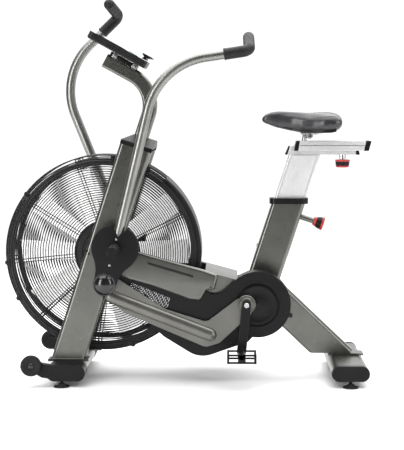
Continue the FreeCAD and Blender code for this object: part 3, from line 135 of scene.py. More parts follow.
def every(path, gap, least=1):
    """Points about a gap apart along a path, with all of its corners."""
    dense = []
    for a, b in zip(path, path[1:]):
        count = max(least, round((Vector(b) - Vector(a)).length / gap))
        dense += [Vector(a).lerp(Vector(b), k / count) for k in range(count)]
    return dense + [Vector(path[-1])]


def loop2(*corners):
    """Closed side view outline; each corner is (x, z) or (x, z, radius)."""
    return rounded([c if len(c) == 3 else (*c, 0) for c in corners])


def capsule(first, first_radius, second, second_radius, steps=24):
    """Outline of two circles and their outer tangents."""
    heading = math.degrees(math.atan2(second[1] - first[1], second[0] - first[0]))
    spread = math.degrees(math.acos((first_radius - second_radius) / math.dist(first, second)))
    start = arc(first, first_radius, heading + spread, heading + 360 - spread, steps * 2)
    end = arc(second, second_radius, heading - spread, heading + spread, steps)
    return start + end


def waisted(first, first_radius, second, second_radius, waist):
    """Outline of two circles joined by arcs that curve inwards and touch both."""
    steps = 32
    gap = math.dist(first, second)
    heading = math.degrees(math.atan2(second[1] - first[1], second[0] - first[0]))
    run = ((first_radius + waist) ** 2 - (second_radius + waist) ** 2 + gap ** 2) / (2 * gap)
    rise = math.sqrt((first_radius + waist) ** 2 - run ** 2)
    spread = math.degrees(math.atan2(rise, run))
    turn = math.degrees(math.atan2(rise, run - gap))
    right = polar(first, first_radius + waist, heading - spread)
    left = polar(first, first_radius + waist, heading + spread)
    return (arc(first, first_radius, heading + spread, heading + 360 - spread, steps * 2)
            + arc(right, waist, heading + 180 - spread, heading + 180 - turn, steps)[1:]
            + arc(second, second_radius, heading - turn, heading + turn, steps)[1:]
            + arc(left, waist, heading + 180 + turn, heading + 180 + spread, steps)[1:-1])


def spun(point, angle):
    """Side view point turned about the arms' pivot, from +X towards +Z."""
    heading = math.degrees(math.atan2(point[1] - PIVOT[1], point[0] - PIVOT[0]))
    return polar(PIVOT, math.dist(point, PIVOT), heading + angle)


# ---- pieces from meshes

def linked(name, data):
    """A new object with this data, put in the scene."""
    item = bpy.data.objects.new(name, data)
    scene.collection.objects.link(item)
    return item


def smoothed(mesh, sharp):
    """Smooth shading with edges above an angle kept sharp."""
    mesh.shade_smooth()
    mesh.set_sharp_from_angle(angle=math.radians(sharp))
    return mesh


def facing_out(mesh, sharp, weld=False):
    """Outward normals and smooth shading; seams can be welded first."""
    bm = bmesh.new()
    bm.from_mesh(mesh)
    if weld:
        bmesh.ops.remove_doubles(bm, verts=bm.verts, dist=0.01 * MM)
    bmesh.ops.recalc_face_normals(bm, faces=bm.faces)
    bm.to_mesh(mesh)
    bm.free()
    return smoothed(mesh, sharp)


def piece(name, mesh, body, material, slot, *nodes):
    """A shown piece: it rides on a body, takes the given material and may stand for CAD nodes; the slot is not
    used.
    """
    item = linked(name, mesh)
    mesh.name = name
    mesh.materials.clear()
    mesh.materials.append(material)
    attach(item, body)
    if nodes:
        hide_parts(*nodes)
    return item


def once(side, node):
    """The CAD node that a left and right pair stands for, named by the left piece only."""
    return [node] if side == LEFT else []


def raw_mesh(verts, faces, sharp=35.0):
    """Mesh from points in millimetres."""
    mesh = bpy.data.meshes.new("raw")
    mesh.from_pydata([Vector(v) * MM for v in verts], [], faces)
    return facing_out(mesh, sharp)


def joined(meshes, sharp=35.0):
    """One mesh from several."""
    bm = bmesh.new()
    for mesh in meshes:
        bm.from_mesh(mesh)
        bpy.data.meshes.remove(mesh)
    result = bpy.data.meshes.new("joined")
    bm.to_mesh(result)
    bm.free()
    return smoothed(result, sharp)


def rings_mesh(rings, closed=False, sharp=35.0):
    """Skin over rings of equal length; open ends are capped."""
    count = len(rings[0])
    verts = [v for ring in rings for v in ring]
    faces = []
    spans = len(rings) if closed else len(rings) - 1
    for i in range(spans):
        a = i * count
        b = ((i + 1) % len(rings)) * count
        for j in range(count):
            k = (j + 1) % count
            faces.append((a + j, a + k, b + k, b + j))
    if not closed:
        faces.append(tuple(range(count)))
        faces.append(tuple(reversed(range(len(verts) - count, len(verts)))))
    return raw_mesh(verts, faces, sharp)


def frames_along(path, closed):
    """Two unit vectors across a path at each point, turning as little as they can."""
    points = [Vector(p) for p in path]
    count = len(points)
    tangents = []
    for i in range(count):
        before = points[i - 1] if closed or i else points[0]
        after = points[(i + 1) % count] if closed or i < count - 1 else points[-1]
        tangents.append((after - before).normalized())
    side = tangents[0].orthogonal().normalized()
    result = []
    for i in range(count):
        if i:
            side = tangents[i - 1].rotation_difference(tangents[i]) @ side
        side = (side - tangents[i] * side.dot(tangents[i])).normalized()
        result.append((points[i], side, tangents[i].cross(side)))
    return result


def axes_of(axis):
    """Unit vector along an axis and two across it."""
    axis = Vector(axis).normalized()
    side = axis.orthogonal().normalized()
    return axis, side, axis.cross(side)


def ring_about(centre, side, up, radius, sides):
    """Points round a centre, in the plane of two unit vectors."""
    turns = [2 * math.pi * k / sides for k in range(sides)]
    return [centre + (side * math.cos(turn) + up * math.sin(turn)) * radius for turn in turns]


def tube_mesh(path, radius, sides=20, closed=False, sharp=35.0):
    """Round tube along a path of millimetre points; radius is a number or one per point."""
    radii = radius if isinstance(radius, list) else [radius] * len(path)
    rings = [ring_about(point, side, up, r, sides)
             for (point, side, up), r in zip(frames_along(path, closed), radii)]
    return rings_mesh(rings, closed, sharp)


def lathe_mesh(profile, at, axis, sides=48, sharp=35.0):
    """Profile of (radius, height) turned about an axis through a point."""
    axis, side, up = axes_of(axis)
    rings = [ring_about(Vector(at) + axis * height, side, up, max(radius, 0.01), sides)
             for radius, height in profile]
    return rings_mesh(rings, False, sharp)


def drum(hole, radius, low, high, chamfer):
    """Profile of a cylinder with chamfered rims and perhaps a hole."""
    return [(hole, low), (radius - chamfer, low), (radius, low + chamfer),
            (radius, high - chamfer), (radius - chamfer, high), (hole, high)]


def cross_lathe(profile, spot, side=RIGHT, sides=32, sharp=30.0):
    """Profile turned about the cross axis at a side view point; heights go outwards on a side."""
    return lathe_mesh(profile, (spot[0], 0, spot[1]), (0, side, 0), sides, sharp)


def box_mesh(low, high, bevel=1.0, steps=2):
    """Block with rounded edges."""
    bm = bmesh.new()
    bmesh.ops.create_cube(bm, size=1.0)
    size = Vector(high) - Vector(low)
    middle = (Vector(high) + Vector(low)) / 2
    for vert in bm.verts:
        vert.co = Vector(c * s for c, s in zip(vert.co, size)) + middle
    bmesh.ops.bevel(bm, geom=bm.edges[:] + bm.verts[:], offset=bevel, segments=steps,
                    profile=0.6, affect="EDGES")
    for vert in bm.verts:
        vert.co *= MM
    mesh = bpy.data.meshes.new("box")
    bm.to_mesh(mesh)
    bm.free()
    return facing_out(mesh, 50.0)


def plate_mesh(loops, low_y, high_y, bevel=1.0, steps=3):
    """Side view outline with holes as a plate between two Y planes, with rounded rims."""
    curve = bpy.data.curves.new("outline", "CURVE")
    curve.dimensions = "2D"
    curve.fill_mode = "BOTH"
    curve.extrude = ((high_y - low_y) / 2 - bevel) * MM
    curve.bevel_depth = bevel * MM
    curve.bevel_resolution = steps
    curve.offset = -bevel * MM
    for loop in loops:
        spline = curve.splines.new("POLY")
        spline.points.add(len(loop) - 1)
        spline.use_cyclic_u = True
        for point, (x, z) in zip(spline.points, loop):
            point.co = (x * MM, z * MM, 0, 1)
    item = linked("outline", curve)
    bpy.context.view_layer.update()
    mesh = evaluated_mesh(item)
    bpy.data.objects.remove(item)
    bpy.data.curves.remove(curve)
    middle = (low_y + high_y) / 2 * MM
    mesh.transform(Matrix.Translation((0, middle, 0)) @ Matrix.Rotation(math.pi / 2, 4, "X"))
    return facing_out(mesh, 50.0, weld=True)


def evaluated_mesh(item):
    """A new mesh of an object as its modifiers or its curve settings leave it."""
    graph = bpy.context.evaluated_depsgraph_get()
    return bpy.data.meshes.new_from_object(item.evaluated_get(graph))


def side_plate(side, loops, inner, outer, bevel=1.0, steps=3):
    """A plate on the left or right of the middle plane, between two layers."""
    low, high = (-outer, -inner) if side == LEFT else (inner, outer)
    return plate_mesh(loops, low, high, bevel, steps)


def even_normals(item):
    """Flat faces stay flat next to rounded rims."""
    modifier = item.modifiers.new("even_normals", "WEIGHTED_NORMAL")
    modifier.keep_sharp = True
    modifier.weight = 80


def turned_right(mesh):
    """Mirror a left-hand mesh to the right side."""
    mesh.transform(Matrix.Scale(-1, 4, (0, 1, 0)))
    mesh.flip_normals()
    return mesh


def swung(mesh, angle, about=PIVOT):
    """Turn a mesh about a side view point, from +X towards +Z."""
    place = Vector((about[0], 0, about[1])) * MM
    turn = Matrix.Rotation(math.radians(-angle), 4, "Y")
    mesh.transform(Matrix.Translation(place) @ turn @ Matrix.Translation(-place))
    return mesh


# ---- materials

class Recipe:
    """A node material being put together."""

    def __init__(self, name):
        self.material = bpy.data.materials.new(name)
        self.material.use_nodes = True
        self.tree = self.material.node_tree
        self.shader = self.tree.nodes["Principled BSDF"]
        self.coords = self.tree.nodes.new("ShaderNodeTexCoord").outputs["Object"]
        self.normal = None

    def node(self, kind, **settings):
        made = self.tree.nodes.new(kind)
        for key, value in settings.items():
            if key in made.inputs:
                made.inputs[key].default_value = value
            else:
                setattr(made, key, value)
        return made

    def link(self, source, target):
        self.tree.links.new(source, target)

    def noise(self, scale, detail=4.0, rough=0.55, stretch=None):
        texture = self.node("ShaderNodeTexNoise", Scale=scale, Detail=detail, Roughness=rough)
        source = self.coords
        if stretch:
            mapping = self.node("ShaderNodeMapping", Scale=stretch)
            self.link(source, mapping.inputs["Vector"])
            source = mapping.outputs["Vector"]
        self.link(source, texture.inputs["Vector"])
        return texture.outputs["Fac"]

    def cells(self, scale, feature="F1"):
        texture = self.node("ShaderNodeTexVoronoi", Scale=scale, feature=feature)
        self.link(self.coords, texture.inputs["Vector"])
        return texture.outputs["Distance"]

    def colour(self, source, *stops):
        """Base colour from a ramp; each stop is (position, colour)."""
        ramp = self.node("ShaderNodeValToRGB")
        elements = ramp.color_ramp.elements
        while len(elements) < len(stops):
            elements.new(0.5)
        for element, (position, value) in zip(elements, stops):
            element.position = position
            element.color = (*value, 1)
        self.link(source, ramp.inputs["Fac"])
        self.link(ramp.outputs["Color"], self.shader.inputs["Base Color"])

    def roughness(self, source, low, high):
        """Roughness from low to high over the middle of a noise's range."""
        ends = {"From Min": 0.3, "From Max": 0.7, "To Min": low, "To Max": high}
        spread = self.node("ShaderNodeMapRange", **ends)
        self.link(source, spread.inputs["Value"])
        self.link(spread.outputs["Result"], self.shader.inputs["Roughness"])

    def bump(self, source, strength, distance):
        """Add a layer of relief on top of those before it."""
        bump = self.node("ShaderNodeBump", Strength=strength, Distance=distance)
        self.link(source, bump.inputs["Height"])
        if self.normal is not None:
            self.link(self.normal, bump.inputs["Normal"])
        self.normal = bump.outputs["Normal"]
        self.link(self.normal, self.shader.inputs["Normal"])

    def set(self, **values):
        for key, value in values.items():
            self.shader.inputs[key.replace("_", " ")].default_value = value


def shades(colour, spread):
    """A darker and a lighter version of a colour."""
    return tuple(c * (1 - spread) for c in colour), tuple(min(1.0, c * (1 + spread)) for c in colour)


def mottled(name, tone, sheen, relief=None, ends=(0.3, 0.7), **settings):
    """Recipe whose tone, gloss and relief drift in clouds.

    tone is (noise, dark, light), sheen is (noise, low, high) and relief is (noise, strength, depth),
    where noise is a scale and a detail.
    """
    r = Recipe(name)
    r.colour(r.noise(*tone[0]), *zip(ends, tone[1:]))
    r.roughness(r.noise(*sheen[0]), *sheen[1:])
    if relief:
        r.bump(r.noise(*relief[0]), *relief[1:])
    r.set(**settings)
    return r


def metallic_paint(name, colour, metallic, low, high):
    """Powder coat with metal flake: cloudy tone, fine sparkle, orange-peel relief."""
    return mottled(name, ((9.0, 6.0), *shades(colour, 0.09)), ((55.0, 3.0), low, high),
                   ((90.0, 2.0), 0.02, 0.0001), Metallic=metallic).material


def frame_paint():
    return metallic_paint("frame_paint", (0.165, 0.165, 0.153), 0.95, 0.27, 0.34)


def arm_paint():
    return metallic_paint("arm_paint", (0.27, 0.268, 0.256), 1.0, 0.33, 0.4)


def rod_paint():
    return metallic_paint("rod_paint", (0.18, 0.179, 0.166), 0.95, 0.33, 0.4)


def satin_black(name="satin_black", tone=0.004, low=0.34, high=0.46):
    """Moulded black plastic: fine pebble grain and faint cloudy handling marks."""
    colours = shades((tone, tone, tone * 1.06), 0.22)
    r = mottled(name, ((14.0, 5.0), *colours), ((40.0, 4.0), low, high), ends=(0.3, 0.75),
                Specular_IOR_Level=0.24)
    r.bump(r.cells(1400.0), 0.16, 0.00012)
    return r.material


def gloss_black():
    """Polished black plastic with soft smears."""
    return mottled("gloss_black", ((18.0, 4.0), (0.004, 0.004, 0.005), (0.007, 0.007, 0.008)),
                   ((26.0, 5.0), 0.14, 0.24), ((120.0, 2.0), 0.03, 0.0002),
                   Coat_Weight=0.4, Coat_Roughness=0.1).material


def wire_paint():
    """Thick black powder coat on wire."""
    return mottled("wire_paint", ((60.0, 4.0), (0.004, 0.004, 0.005), (0.010, 0.010, 0.011)),
                   ((90.0, 3.0), 0.35, 0.5), ((400.0, 2.0), 0.04, 0.0001),
                   Specular_IOR_Level=0.3).material


def silver_plastic():
    """Painted cover: silver grey with fine flake and a clear coat."""
    return mottled("silver_plastic", ((11.0, 6.0), (0.135, 0.135, 0.126), (0.155, 0.155, 0.145)),
                   ((60.0, 4.0), 0.28, 0.36), ((120.0, 2.0), 0.02, 0.0001),
                   Metallic=0.9, Coat_Weight=0.2, Coat_Roughness=0.2).material


def glowing_blade_metal():
    """Pale sheet steel of the fan blades, with a painted white glow: a faint emission makes them look lit, so that
    they show pale behind the wires.
    """
    return mottled("glowing_blade_metal", ((30.0, 5.0), (0.80, 0.80, 0.80), (0.90, 0.90, 0.89)),
                   ((80.0, 4.0), 0.35, 0.5), ((300.0, 3.0), 0.06, 0.0002),
                   # Painted light: a white emission that stands in for light falling on the blades.
                   Emission_Color=(1.0, 1.0, 1.0, 1.0), Emission_Strength=0.5).material


def brushed(name, tone, stretch, low=0.24, high=0.4, metallic=1.0):
    """Brushed bare metal: fine lines that run one way."""
    r = Recipe(name)
    dark, light = shades((tone, tone, tone * 1.01), 0.08)
    lines = r.noise(40.0, 6.0, 0.6, stretch)
    r.colour(lines, (0.35, dark), (0.65, light))
    r.roughness(lines, low, high)
    r.bump(lines, 0.08, 0.0001)
    r.set(Metallic=metallic)
    return r.material


UPRIGHT_GRAIN = (30, 30, 1.5)


def bare_steel():
    return brushed("bare_steel", 0.60, (1, 14, 1), 0.2, 0.36)


def post_aluminium():
    return brushed("post_aluminium", 0.6, UPRIGHT_GRAIN, metallic=0.45)


def panel_aluminium():
    return brushed("post_panel", 0.6, UPRIGHT_GRAIN, 0.4, 0.55, 0.3)


def rail_aluminium():
    return brushed("rail_aluminium", 0.66, (1.5, 30, 30), metallic=0.4)


def rubber(name="rubber", tone=0.006, scale=900.0, low=0.5, high=0.7):
    """Moulded rubber: dusty tone and fine grain."""
    r = mottled(name, ((25.0, 6.0), *shades((tone, tone, tone), 0.3)), ((70.0, 4.0), low, high),
                ends=(0.3, 0.75), Specular_IOR_Level=0.3)
    r.bump(r.cells(scale), 0.25, 0.00015)
    return r.material


def vinyl():
    """Saddle vinyl: leather-like grain, slight gloss and creases."""
    r = mottled("vinyl", ((20.0, 5.0), (0.014, 0.014, 0.016), (0.026, 0.026, 0.029)),
                ((50.0, 4.0), 0.28, 0.42), Coat_Weight=0.25, Coat_Roughness=0.25)
    r.bump(r.cells(520.0, "SMOOTH_F1"), 0.3, 0.00025)
    r.bump(r.noise(30.0, 3.0), 0.12, 0.0008)
    return r.material


def red_plastic():
    """Glossy red moulding with slight mottling."""
    return mottled("red_plastic", ((60.0, 4.0), (0.36, 0.018, 0.02), (0.46, 0.03, 0.03)),
                   ((70.0, 4.0), 0.28, 0.4), ((900.0, 2.0), 0.08, 0.0001)).material


def green_plastic():
    """Glossy green moulding with slight mottling."""
    return mottled("green_plastic", ((60.0, 4.0), (0.03, 0.26, 0.06), (0.05, 0.34, 0.08)),
                   ((70.0, 4.0), 0.28, 0.4)).material


def display_face():
    """Pale display window behind a clear, glossy sheet."""
    return mottled("display_face", ((8.0, 3.0), (0.17, 0.19, 0.20), (0.23, 0.25, 0.26)),
                   ((40.0, 3.0), 0.06, 0.12), Coat_Weight=1.0, Coat_Roughness=0.03).material


def floor_surface():
    """Seamless pale studio floor."""
    return mottled("floor_surface", ((1.5, 3.0), (0.90, 0.90, 0.90), (0.92, 0.92, 0.92)),
                   ((6.0, 3.0), 0.45, 0.55)).material


# ---- studio

def make_camera():
    """Long lens from the side, level with the console and tilted a little down."""
    data = bpy.data.cameras.new("camera")
    data.sensor_width = 36.0
    data.lens = 107.5
    camera = linked("camera", data)
    camera.location = (0.1455, -5.070, 1.020)
    camera.rotation_euler = Euler((math.radians(90 - 5.059), 0, math.radians(1.0656)))
    scene.camera = camera


def area_light(name, place, target, width, height, power):
    """Soft box at a place, facing a target."""
    data = bpy.data.lights.new(name, "AREA")
    data.shape = "RECTANGLE"
    data.size = width
    data.size_y = height
    data.energy = power
    light = linked(name, data)
    light.location = place
    light.rotation_euler = (Vector(target) - Vector(place)).to_track_quat("-Z", "Y").to_euler()


def studio_world():
    """White backdrop that lights from behind; the room on the near side reflects as dark grey."""
    world = bpy.data.worlds.new("studio")
    world.use_nodes = True
    tree = world.node_tree
    background = tree.nodes["Background"]
    coords = tree.nodes.new("ShaderNodeTexCoord")
    parts = tree.nodes.new("ShaderNodeSeparateXYZ")
    ramp = tree.nodes.new("ShaderNodeValToRGB")
    ramp.color_ramp.elements[0].position = 0.0
    ramp.color_ramp.elements[0].color = (0.11, 0.11, 0.11, 1)
    ramp.color_ramp.elements[1].position = 0.55
    ramp.color_ramp.elements[1].color = (1.0, 1.0, 1.0, 1)
    tree.links.new(coords.outputs["Generated"], parts.inputs["Vector"])
    lean = tree.nodes.new("ShaderNodeMath")
    lean.operation = "MULTIPLY_ADD"
    lean.inputs[1].default_value = 0.3
    tree.links.new(parts.outputs["X"], lean.inputs[0])
    tree.links.new(parts.outputs["Y"], lean.inputs[2])
    tree.links.new(lean.outputs["Value"], ramp.inputs["Fac"])
    rays = tree.nodes.new("ShaderNodeLightPath")
    backdrop = tree.nodes.new("ShaderNodeMix")
    backdrop.data_type = "RGBA"
    backdrop.inputs[7].default_value = (1, 1, 1, 1)
    tree.links.new(rays.outputs["Is Camera Ray"], backdrop.inputs[0])
    tree.links.new(ramp.outputs["Color"], backdrop.inputs[6])
    tree.links.new(backdrop.outputs[2], background.inputs["Color"])
    background.inputs["Strength"].default_value = 1.1
    scene.world = world


def make_studio():
    """White room: a large soft box above, strips at the sides and a pale seamless floor."""
    studio_world()
    scene.view_settings.view_transform = "Standard"
    area_light("overhead", (0.0, 1.2, 4.6), (0, 1.2, 0), 8.0, 8.0, 660)
    area_light("left_strip", (-2.6, -3.0, 1.5), (-0.2, 0, 0.7), 0.9, 3.0, 85)
    area_light("right_strip", (2.9, -2.6, 1.7), (0.2, 0, 0.7), 0.7, 2.6, 50)
    reach = 4.0
    mesh = bpy.data.meshes.new("floor")
    mesh.from_pydata([(-reach, -reach, 0), (reach, -reach, 0), (reach, reach, 0), (-reach, reach, 0)],
                     [], [(0, 1, 2, 3)])
    mesh.materials.append(floor_surface())
    linked("floor", mesh)


# ---- materials in use

FRAME_PAINT = frame_paint()
ARM_PAINT = arm_paint()
ROD_PAINT = rod_paint()
BLACK = satin_black()
GLOSS = gloss_black()
WIRE = wire_paint()
SILVER = silver_plastic()
BLADE = glowing_blade_metal()
STEEL = bare_steel()
POST = post_aluminium()
RAIL = rail_aluminium()
PANEL = panel_aluminium()
RUBBER = rubber()
GRIP = rubber("grip_rubber", 0.009, 700.0, 0.42, 0.6)
VINYL = vinyl()
RED = red_plastic()
GREEN = green_plastic()
DISPLAY = display_face()
DARK_PLASTIC = satin_black("dark_plastic", 0.014, 0.3, 0.42)

CAD_FINISH = {
    "frame_paint": FRAME_PAINT, "arm_paint": ARM_PAINT, "steel": STEEL, "aluminium": RAIL,
    "black_moulding": BLACK, "silver_moulding": SILVER, "disc_black": BLACK, "black_wire": WIRE,
    "blade_steel": BLADE, "belt_rubber": RUBBER, "grip_rubber": GRIP, "wheel_rubber": RUBBER,
    "foot_black": RUBBER, "pedal_plastic": BLACK, "knob_plastic": RED, "vinyl": VINYL,
    "console_plastic": DARK_PLASTIC, "display": DISPLAY, "button_red": RED, "button_green": GREEN,
}


def finish_cad_nodes():
    """Every CAD node that stays in view takes its slot's material."""
    for row in frame["record"]["subparts"]:
        node = frame["nodes"][row["node"]]
        node.data.materials.clear()
        node.data.materials.append(CAD_FINISH[row["material_slot"]])


# ---- fan cage

CAGE_INSIDE = 87.0
CAGE_FACE = 89.5
CAGE_OUTSIDE = 91.0
HUB_PLATE = (-300.0, 476.0)
# Radii of the heavy ring in each face, and of the outside of the rim.
RING = 342.0
RIM = 368.0
SPOKE_ANGLES = [25.5 + 40 * index for index in range(9)]
SHROUD_START = -38.0
SHROUD_END = 50.0


def wire_loops(paths, radius, sides=6):
    """Many wires as one mesh; each path is (points, closed)."""
    return joined([tube_mesh(points, radius, sides, closed) for points, closed in paths], 80.0)


def ring_points(radius, y, steps=96, centre=FAN):
    """Points of a wire ring in a face of the cage."""
    return [(x, y, z) for x, z in circle(centre, radius, steps)]


def grille_wires(side):
    """Concentric wires of one flat face; the inner ones drift towards the hub plate."""
    count = 25
    inner = 122.0
    outer = 333.0
    paths = []
    for index in range(count):
        share = index / (count - 1)
        centre = Vector(HUB_PLATE).lerp(Vector(FAN), min(1, share * 1.6))
        radius = inner + (outer - inner) * share
        paths.append((ring_points(radius, side * CAGE_FACE, 96, centre), True))
    return paths


def spoke_wires(side):
    """Pairs of spokes behind the rings, from the hub plate to the rim."""
    y = side * (CAGE_FACE - 3.0)
    paths = []
    for angle in SPOKE_ANGLES:
        across = Vector((-math.sin(math.radians(angle)), math.cos(math.radians(angle))))
        for offset in (-5.5, 5.5):
            inner = Vector(polar(HUB_PLATE, 100.0, angle)) + across * offset
            outer = Vector(polar(FAN, RING - 4.0, angle)) + across * offset
            paths.append(([(inner.x, y, inner.y), (outer.x, y, outer.y)], False))
    return paths


def rim_bar(angle):
    """A wire over the rim, from one face of the cage to the other."""
    path = []
    over = RIM - 5
    for radius, y in ((RING, -CAGE_INSIDE), (over, -72.0), (over, 0.0), (over, 72.0),
                      (RING, CAGE_INSIDE)):
        x, z = polar(FAN, radius, angle)
        path.append((x, y, z))
    return path


def make_cage():
    """Wire cage: two flat faces, a heavy rim ring on each, and hoops round the front."""
    for side, name in SIDES:
        wires = wire_loops(grille_wires(side) + spoke_wires(side), 1.75)
        heavy = wire_loops([(ring_points(RING + 2, side * CAGE_INSIDE), True),
                            (ring_points(RING - 7, side * 88.0), True)], 6.0, 10)
        plate = side_plate(side, [circle(HUB_PLATE, 121.0, 96), circle(FAN, 18.0, 24)],
                           CAGE_INSIDE, CAGE_OUTSIDE, 1.5)
        bosses = [wire_loops([(ring_points(radius, side * CAGE_OUTSIDE, 72, HUB_PLATE), True)], 2.4, 8)
                  for radius in (60.0, 95.0, 118.0)]
        piece(f"cage_face_{name}", joined([wires, heavy, plate, *bosses], 80.0), "frame",
              WIRE, "black_wire", *once(side, "cage_faces"))
    start = SHROUD_END - 5
    end = SHROUD_START + 365
    hoops = []
    for share in (-1, -0.75, -0.5, -0.25, 0, 0.25, 0.5, 0.75, 1):
        radius = RIM - 2.5 - (12.0 if abs(share) == 1 else 0.0)
        hoops.append(([(x, share * 84.0, z) for x, z in arc(FAN, radius, start, end, 90)], False))
    bars = [(rim_bar(angle + offset), False) for angle in SPOKE_ANGLES if start < angle < end
            for offset in (-0.9, 0.9)]
    mesh = joined([wire_loops(hoops, 2.4, 8), wire_loops(bars, 2.4, 8)], 80.0)
    piece("cage_hoop_wires", mesh, "frame", WIRE, "black_wire", "cage_hoops")


def make_shroud():
    """Smooth band over the rear rim, with rolled edges."""
    steps = 60
    section = rounded([(344, -91, 0), (RIM, -91, 12), (RIM, 91, 12), (344, 91, 0), (344, 88, 0),
                       (RIM - 3.5, 88, 9), (RIM - 3.5, -88, 9), (344, -88, 0)])
    rings = []
    for index in range(steps + 1):
        angle = SHROUD_START + (SHROUD_END - SHROUD_START) * index / steps
        rings.append([(polar(FAN, r, angle)[0], y, polar(FAN, r, angle)[1]) for r, y in section])
    piece("shroud_band", rings_mesh(rings, False, 40.0), "frame", BLACK, "black_moulding", "wind_shroud")


BLADE_ROOT = 52.0
BLADE_TIP = 316.0
BLADE_ROWS = 12
BLADE_COLUMNS = 8


def blade_layer(turn, lift_off):
    """Points of one face of a blade, row by row from its root to its tip."""
    points = []
    for i in range(BLADE_ROWS + 1):
        radius = BLADE_ROOT + (BLADE_TIP - BLADE_ROOT) * i / BLADE_ROWS
        half = 40.0 + 9.0 * i / BLADE_ROWS
        pitch = math.radians(44.0 - 16.0 * i / BLADE_ROWS)
        for j in range(BLADE_COLUMNS + 1):
            share = 2 * j / BLADE_COLUMNS - 1
            lift = 5.0 * (1 - share ** 2) + lift_off
            u = share * half * math.cos(pitch) - lift * math.sin(pitch)
            y = share * half * math.sin(pitch) + lift * math.cos(pitch)
            points.append((FAN[0] + radius * math.cos(turn) - u * math.sin(turn), y,
                           FAN[1] + radius * math.sin(turn) + u * math.cos(turn)))
    return points


def blade_faces():
    """Faces of both layers of a blade and of the rim between them."""
    width = BLADE_COLUMNS + 1
    layer_size = (BLADE_ROWS + 1) * width
    faces = []
    for i in range(BLADE_ROWS):
        for j in range(BLADE_COLUMNS):
            a = i * width + j
            b = a + layer_size
            faces.append((a, a + 1, a + width + 1, a + width))
            faces.append((b, b + width, b + width + 1, b + 1))
    last = BLADE_ROWS * width
    rim = list(range(width)) + [i * width + BLADE_COLUMNS for i in range(1, BLADE_ROWS + 1)]
    rim += list(range(last + BLADE_COLUMNS - 1, last - 1, -1))
    rim += [i * width for i in range(BLADE_ROWS - 1, 0, -1)]
    for a, b in zip(rim, rim[1:] + rim[:1]):
        faces.append((a, a + layer_size, b + layer_size, b))
    return faces


def make_blades():
    """Pitched, slightly cupped blades on a hub ring."""
    count = 10
    meshes = []
    for index in range(count):
        turn = 2 * math.pi * index / count
        meshes.append(raw_mesh(blade_layer(turn, 0.0) + blade_layer(turn, 1.6), blade_faces(), 40.0))
    meshes.append(cross_lathe([(48.2, -30), (56, -30), (57, -28), (57, 28), (56, 30), (48.2, 30)],
                              FAN, RIGHT, 64, 35.0))
    piece("fan_blades_formed", joined(meshes, 40.0), "fan", BLADE, "blade_steel", "fan_blades")


# ---- swinging arms

# Direction of the left arm's long straight, how far out the arm is, and where its rod hangs.
ARM_UP = 90 - 13.5
ARM_PLANE = 222.0
EYE = polar(PIVOT, 138.6, 270 - 16.3)
COVER_LAYER = (232.0, 243.0)


def arm_corners():
    """Corners of the left arm's centre line, with bend radii, from near the hub to its end."""
    start = polar(PIVOT, 22.0, ARM_UP)
    bend = polar(PIVOT, 681.0, ARM_UP)
    elbow = polar(bend, 330.0, 8.6)
    y = -ARM_PLANE
    return [(start[0], y, start[1], 0), (bend[0], y, bend[1], 250), (elbow[0], y, elbow[1], 25),
            (elbow[0] - 2, y + 90, elbow[1] + 50, 0)]


def on_side(mesh, side):
    """A left arm mesh, or its mirrored and swung copy for the right."""
    if side == RIGHT:
        turned_right(mesh)
        swung(mesh, ARM_SWING)
    return mesh


def make_arm_tube(side, name):
    """Bent tube on its pivot sleeve, with the lever and the stud that the rod hangs from."""
    tube = tube_mesh(rounded(arm_corners(), closed=False, step=3.0), 18.2, 32)
    sleeve = cross_lathe(drum(12.2, 27, 204, 240, 2), PIVOT, LEFT, 48, 35.0)
    lever = side_plate(LEFT, [capsule(PIVOT, 30.0, EYE, 20.0)], 204.0, 212.0, 1.2)
    stud = cross_lathe([(0, 212), (9, 212), (9, 237), (8, 238), (0, 238)], EYE, LEFT, 32, 35.0)
    mesh = on_side(joined([tube, sleeve, lever, stud]), side)
    piece(f"arm_bar_{name}", mesh, f"{name}_arm", ARM_PAINT, "arm_paint", f"arm_tube_{name}")


def make_grip(side, name):
    """Rubber sleeve with a rolled lip, a soft swell and a domed end."""
    corners = arm_corners()
    bend, elbow, end = [Vector(corner[:3]) for corner in corners[1:]]
    start = elbow + (bend - elbow).normalized() * 93.0
    path = rounded([(*start, 0), corners[2], corners[3]], closed=False, step=4.0)
    heading = (Vector(path[-1]) - Vector(path[-2])).normalized()
    dense = every(path, 4.0)
    radii = []
    length = 0.0
    for index, point in enumerate(dense):
        if index:
            length += (point - dense[index - 1]).length
        lip = 1.6 * math.exp(-((length - 4.0) / 3.0) ** 2)
        ridge = 0.35 * math.cos(length * 2 * math.pi / 8.0)
        radii.append(20.9 + lip + (ridge if length > 12 else 0))
    radii[0] = 19.6
    for k in range(1, 9):
        angle = math.radians(90.0 * k / 8)
        dense.append(end + heading * 21.0 * math.sin(angle))
        radii.append(max(0.4, 21.0 * math.cos(angle)))
    mesh = on_side(tube_mesh(dense, radii, 32, sharp=60.0), side)
    piece(f"grip_rubber_{name}", mesh, f"{name}_arm", GRIP, "grip_rubber", f"grip_{name}")


def off_tube(x, z):
    """Angle at the pivot between a side view point and the arm tube."""
    angle = math.degrees(math.atan2(z - PIVOT[1], x - PIVOT[0])) - ARM_UP
    return abs((angle + 180) % 360 - 180)


def notched(outline):
    """The cover's outline with a notch for the tube cut into its top."""
    tip = polar(PIVOT, 44.0, ARM_UP - 2)
    opening = [off_tube(x, z) < 18.5 and math.dist((x, z), PIVOT) < 90 for x, z in outline]
    start = next(i for i in range(len(outline)) if opening[i] and not opening[i - 1])
    stop = next(i for i in range(len(outline)) if opening[i - 1] and not opening[i])
    if start < stop:
        return outline[:start] + [tip] + outline[stop:]
    return outline[stop:start] + [tip]


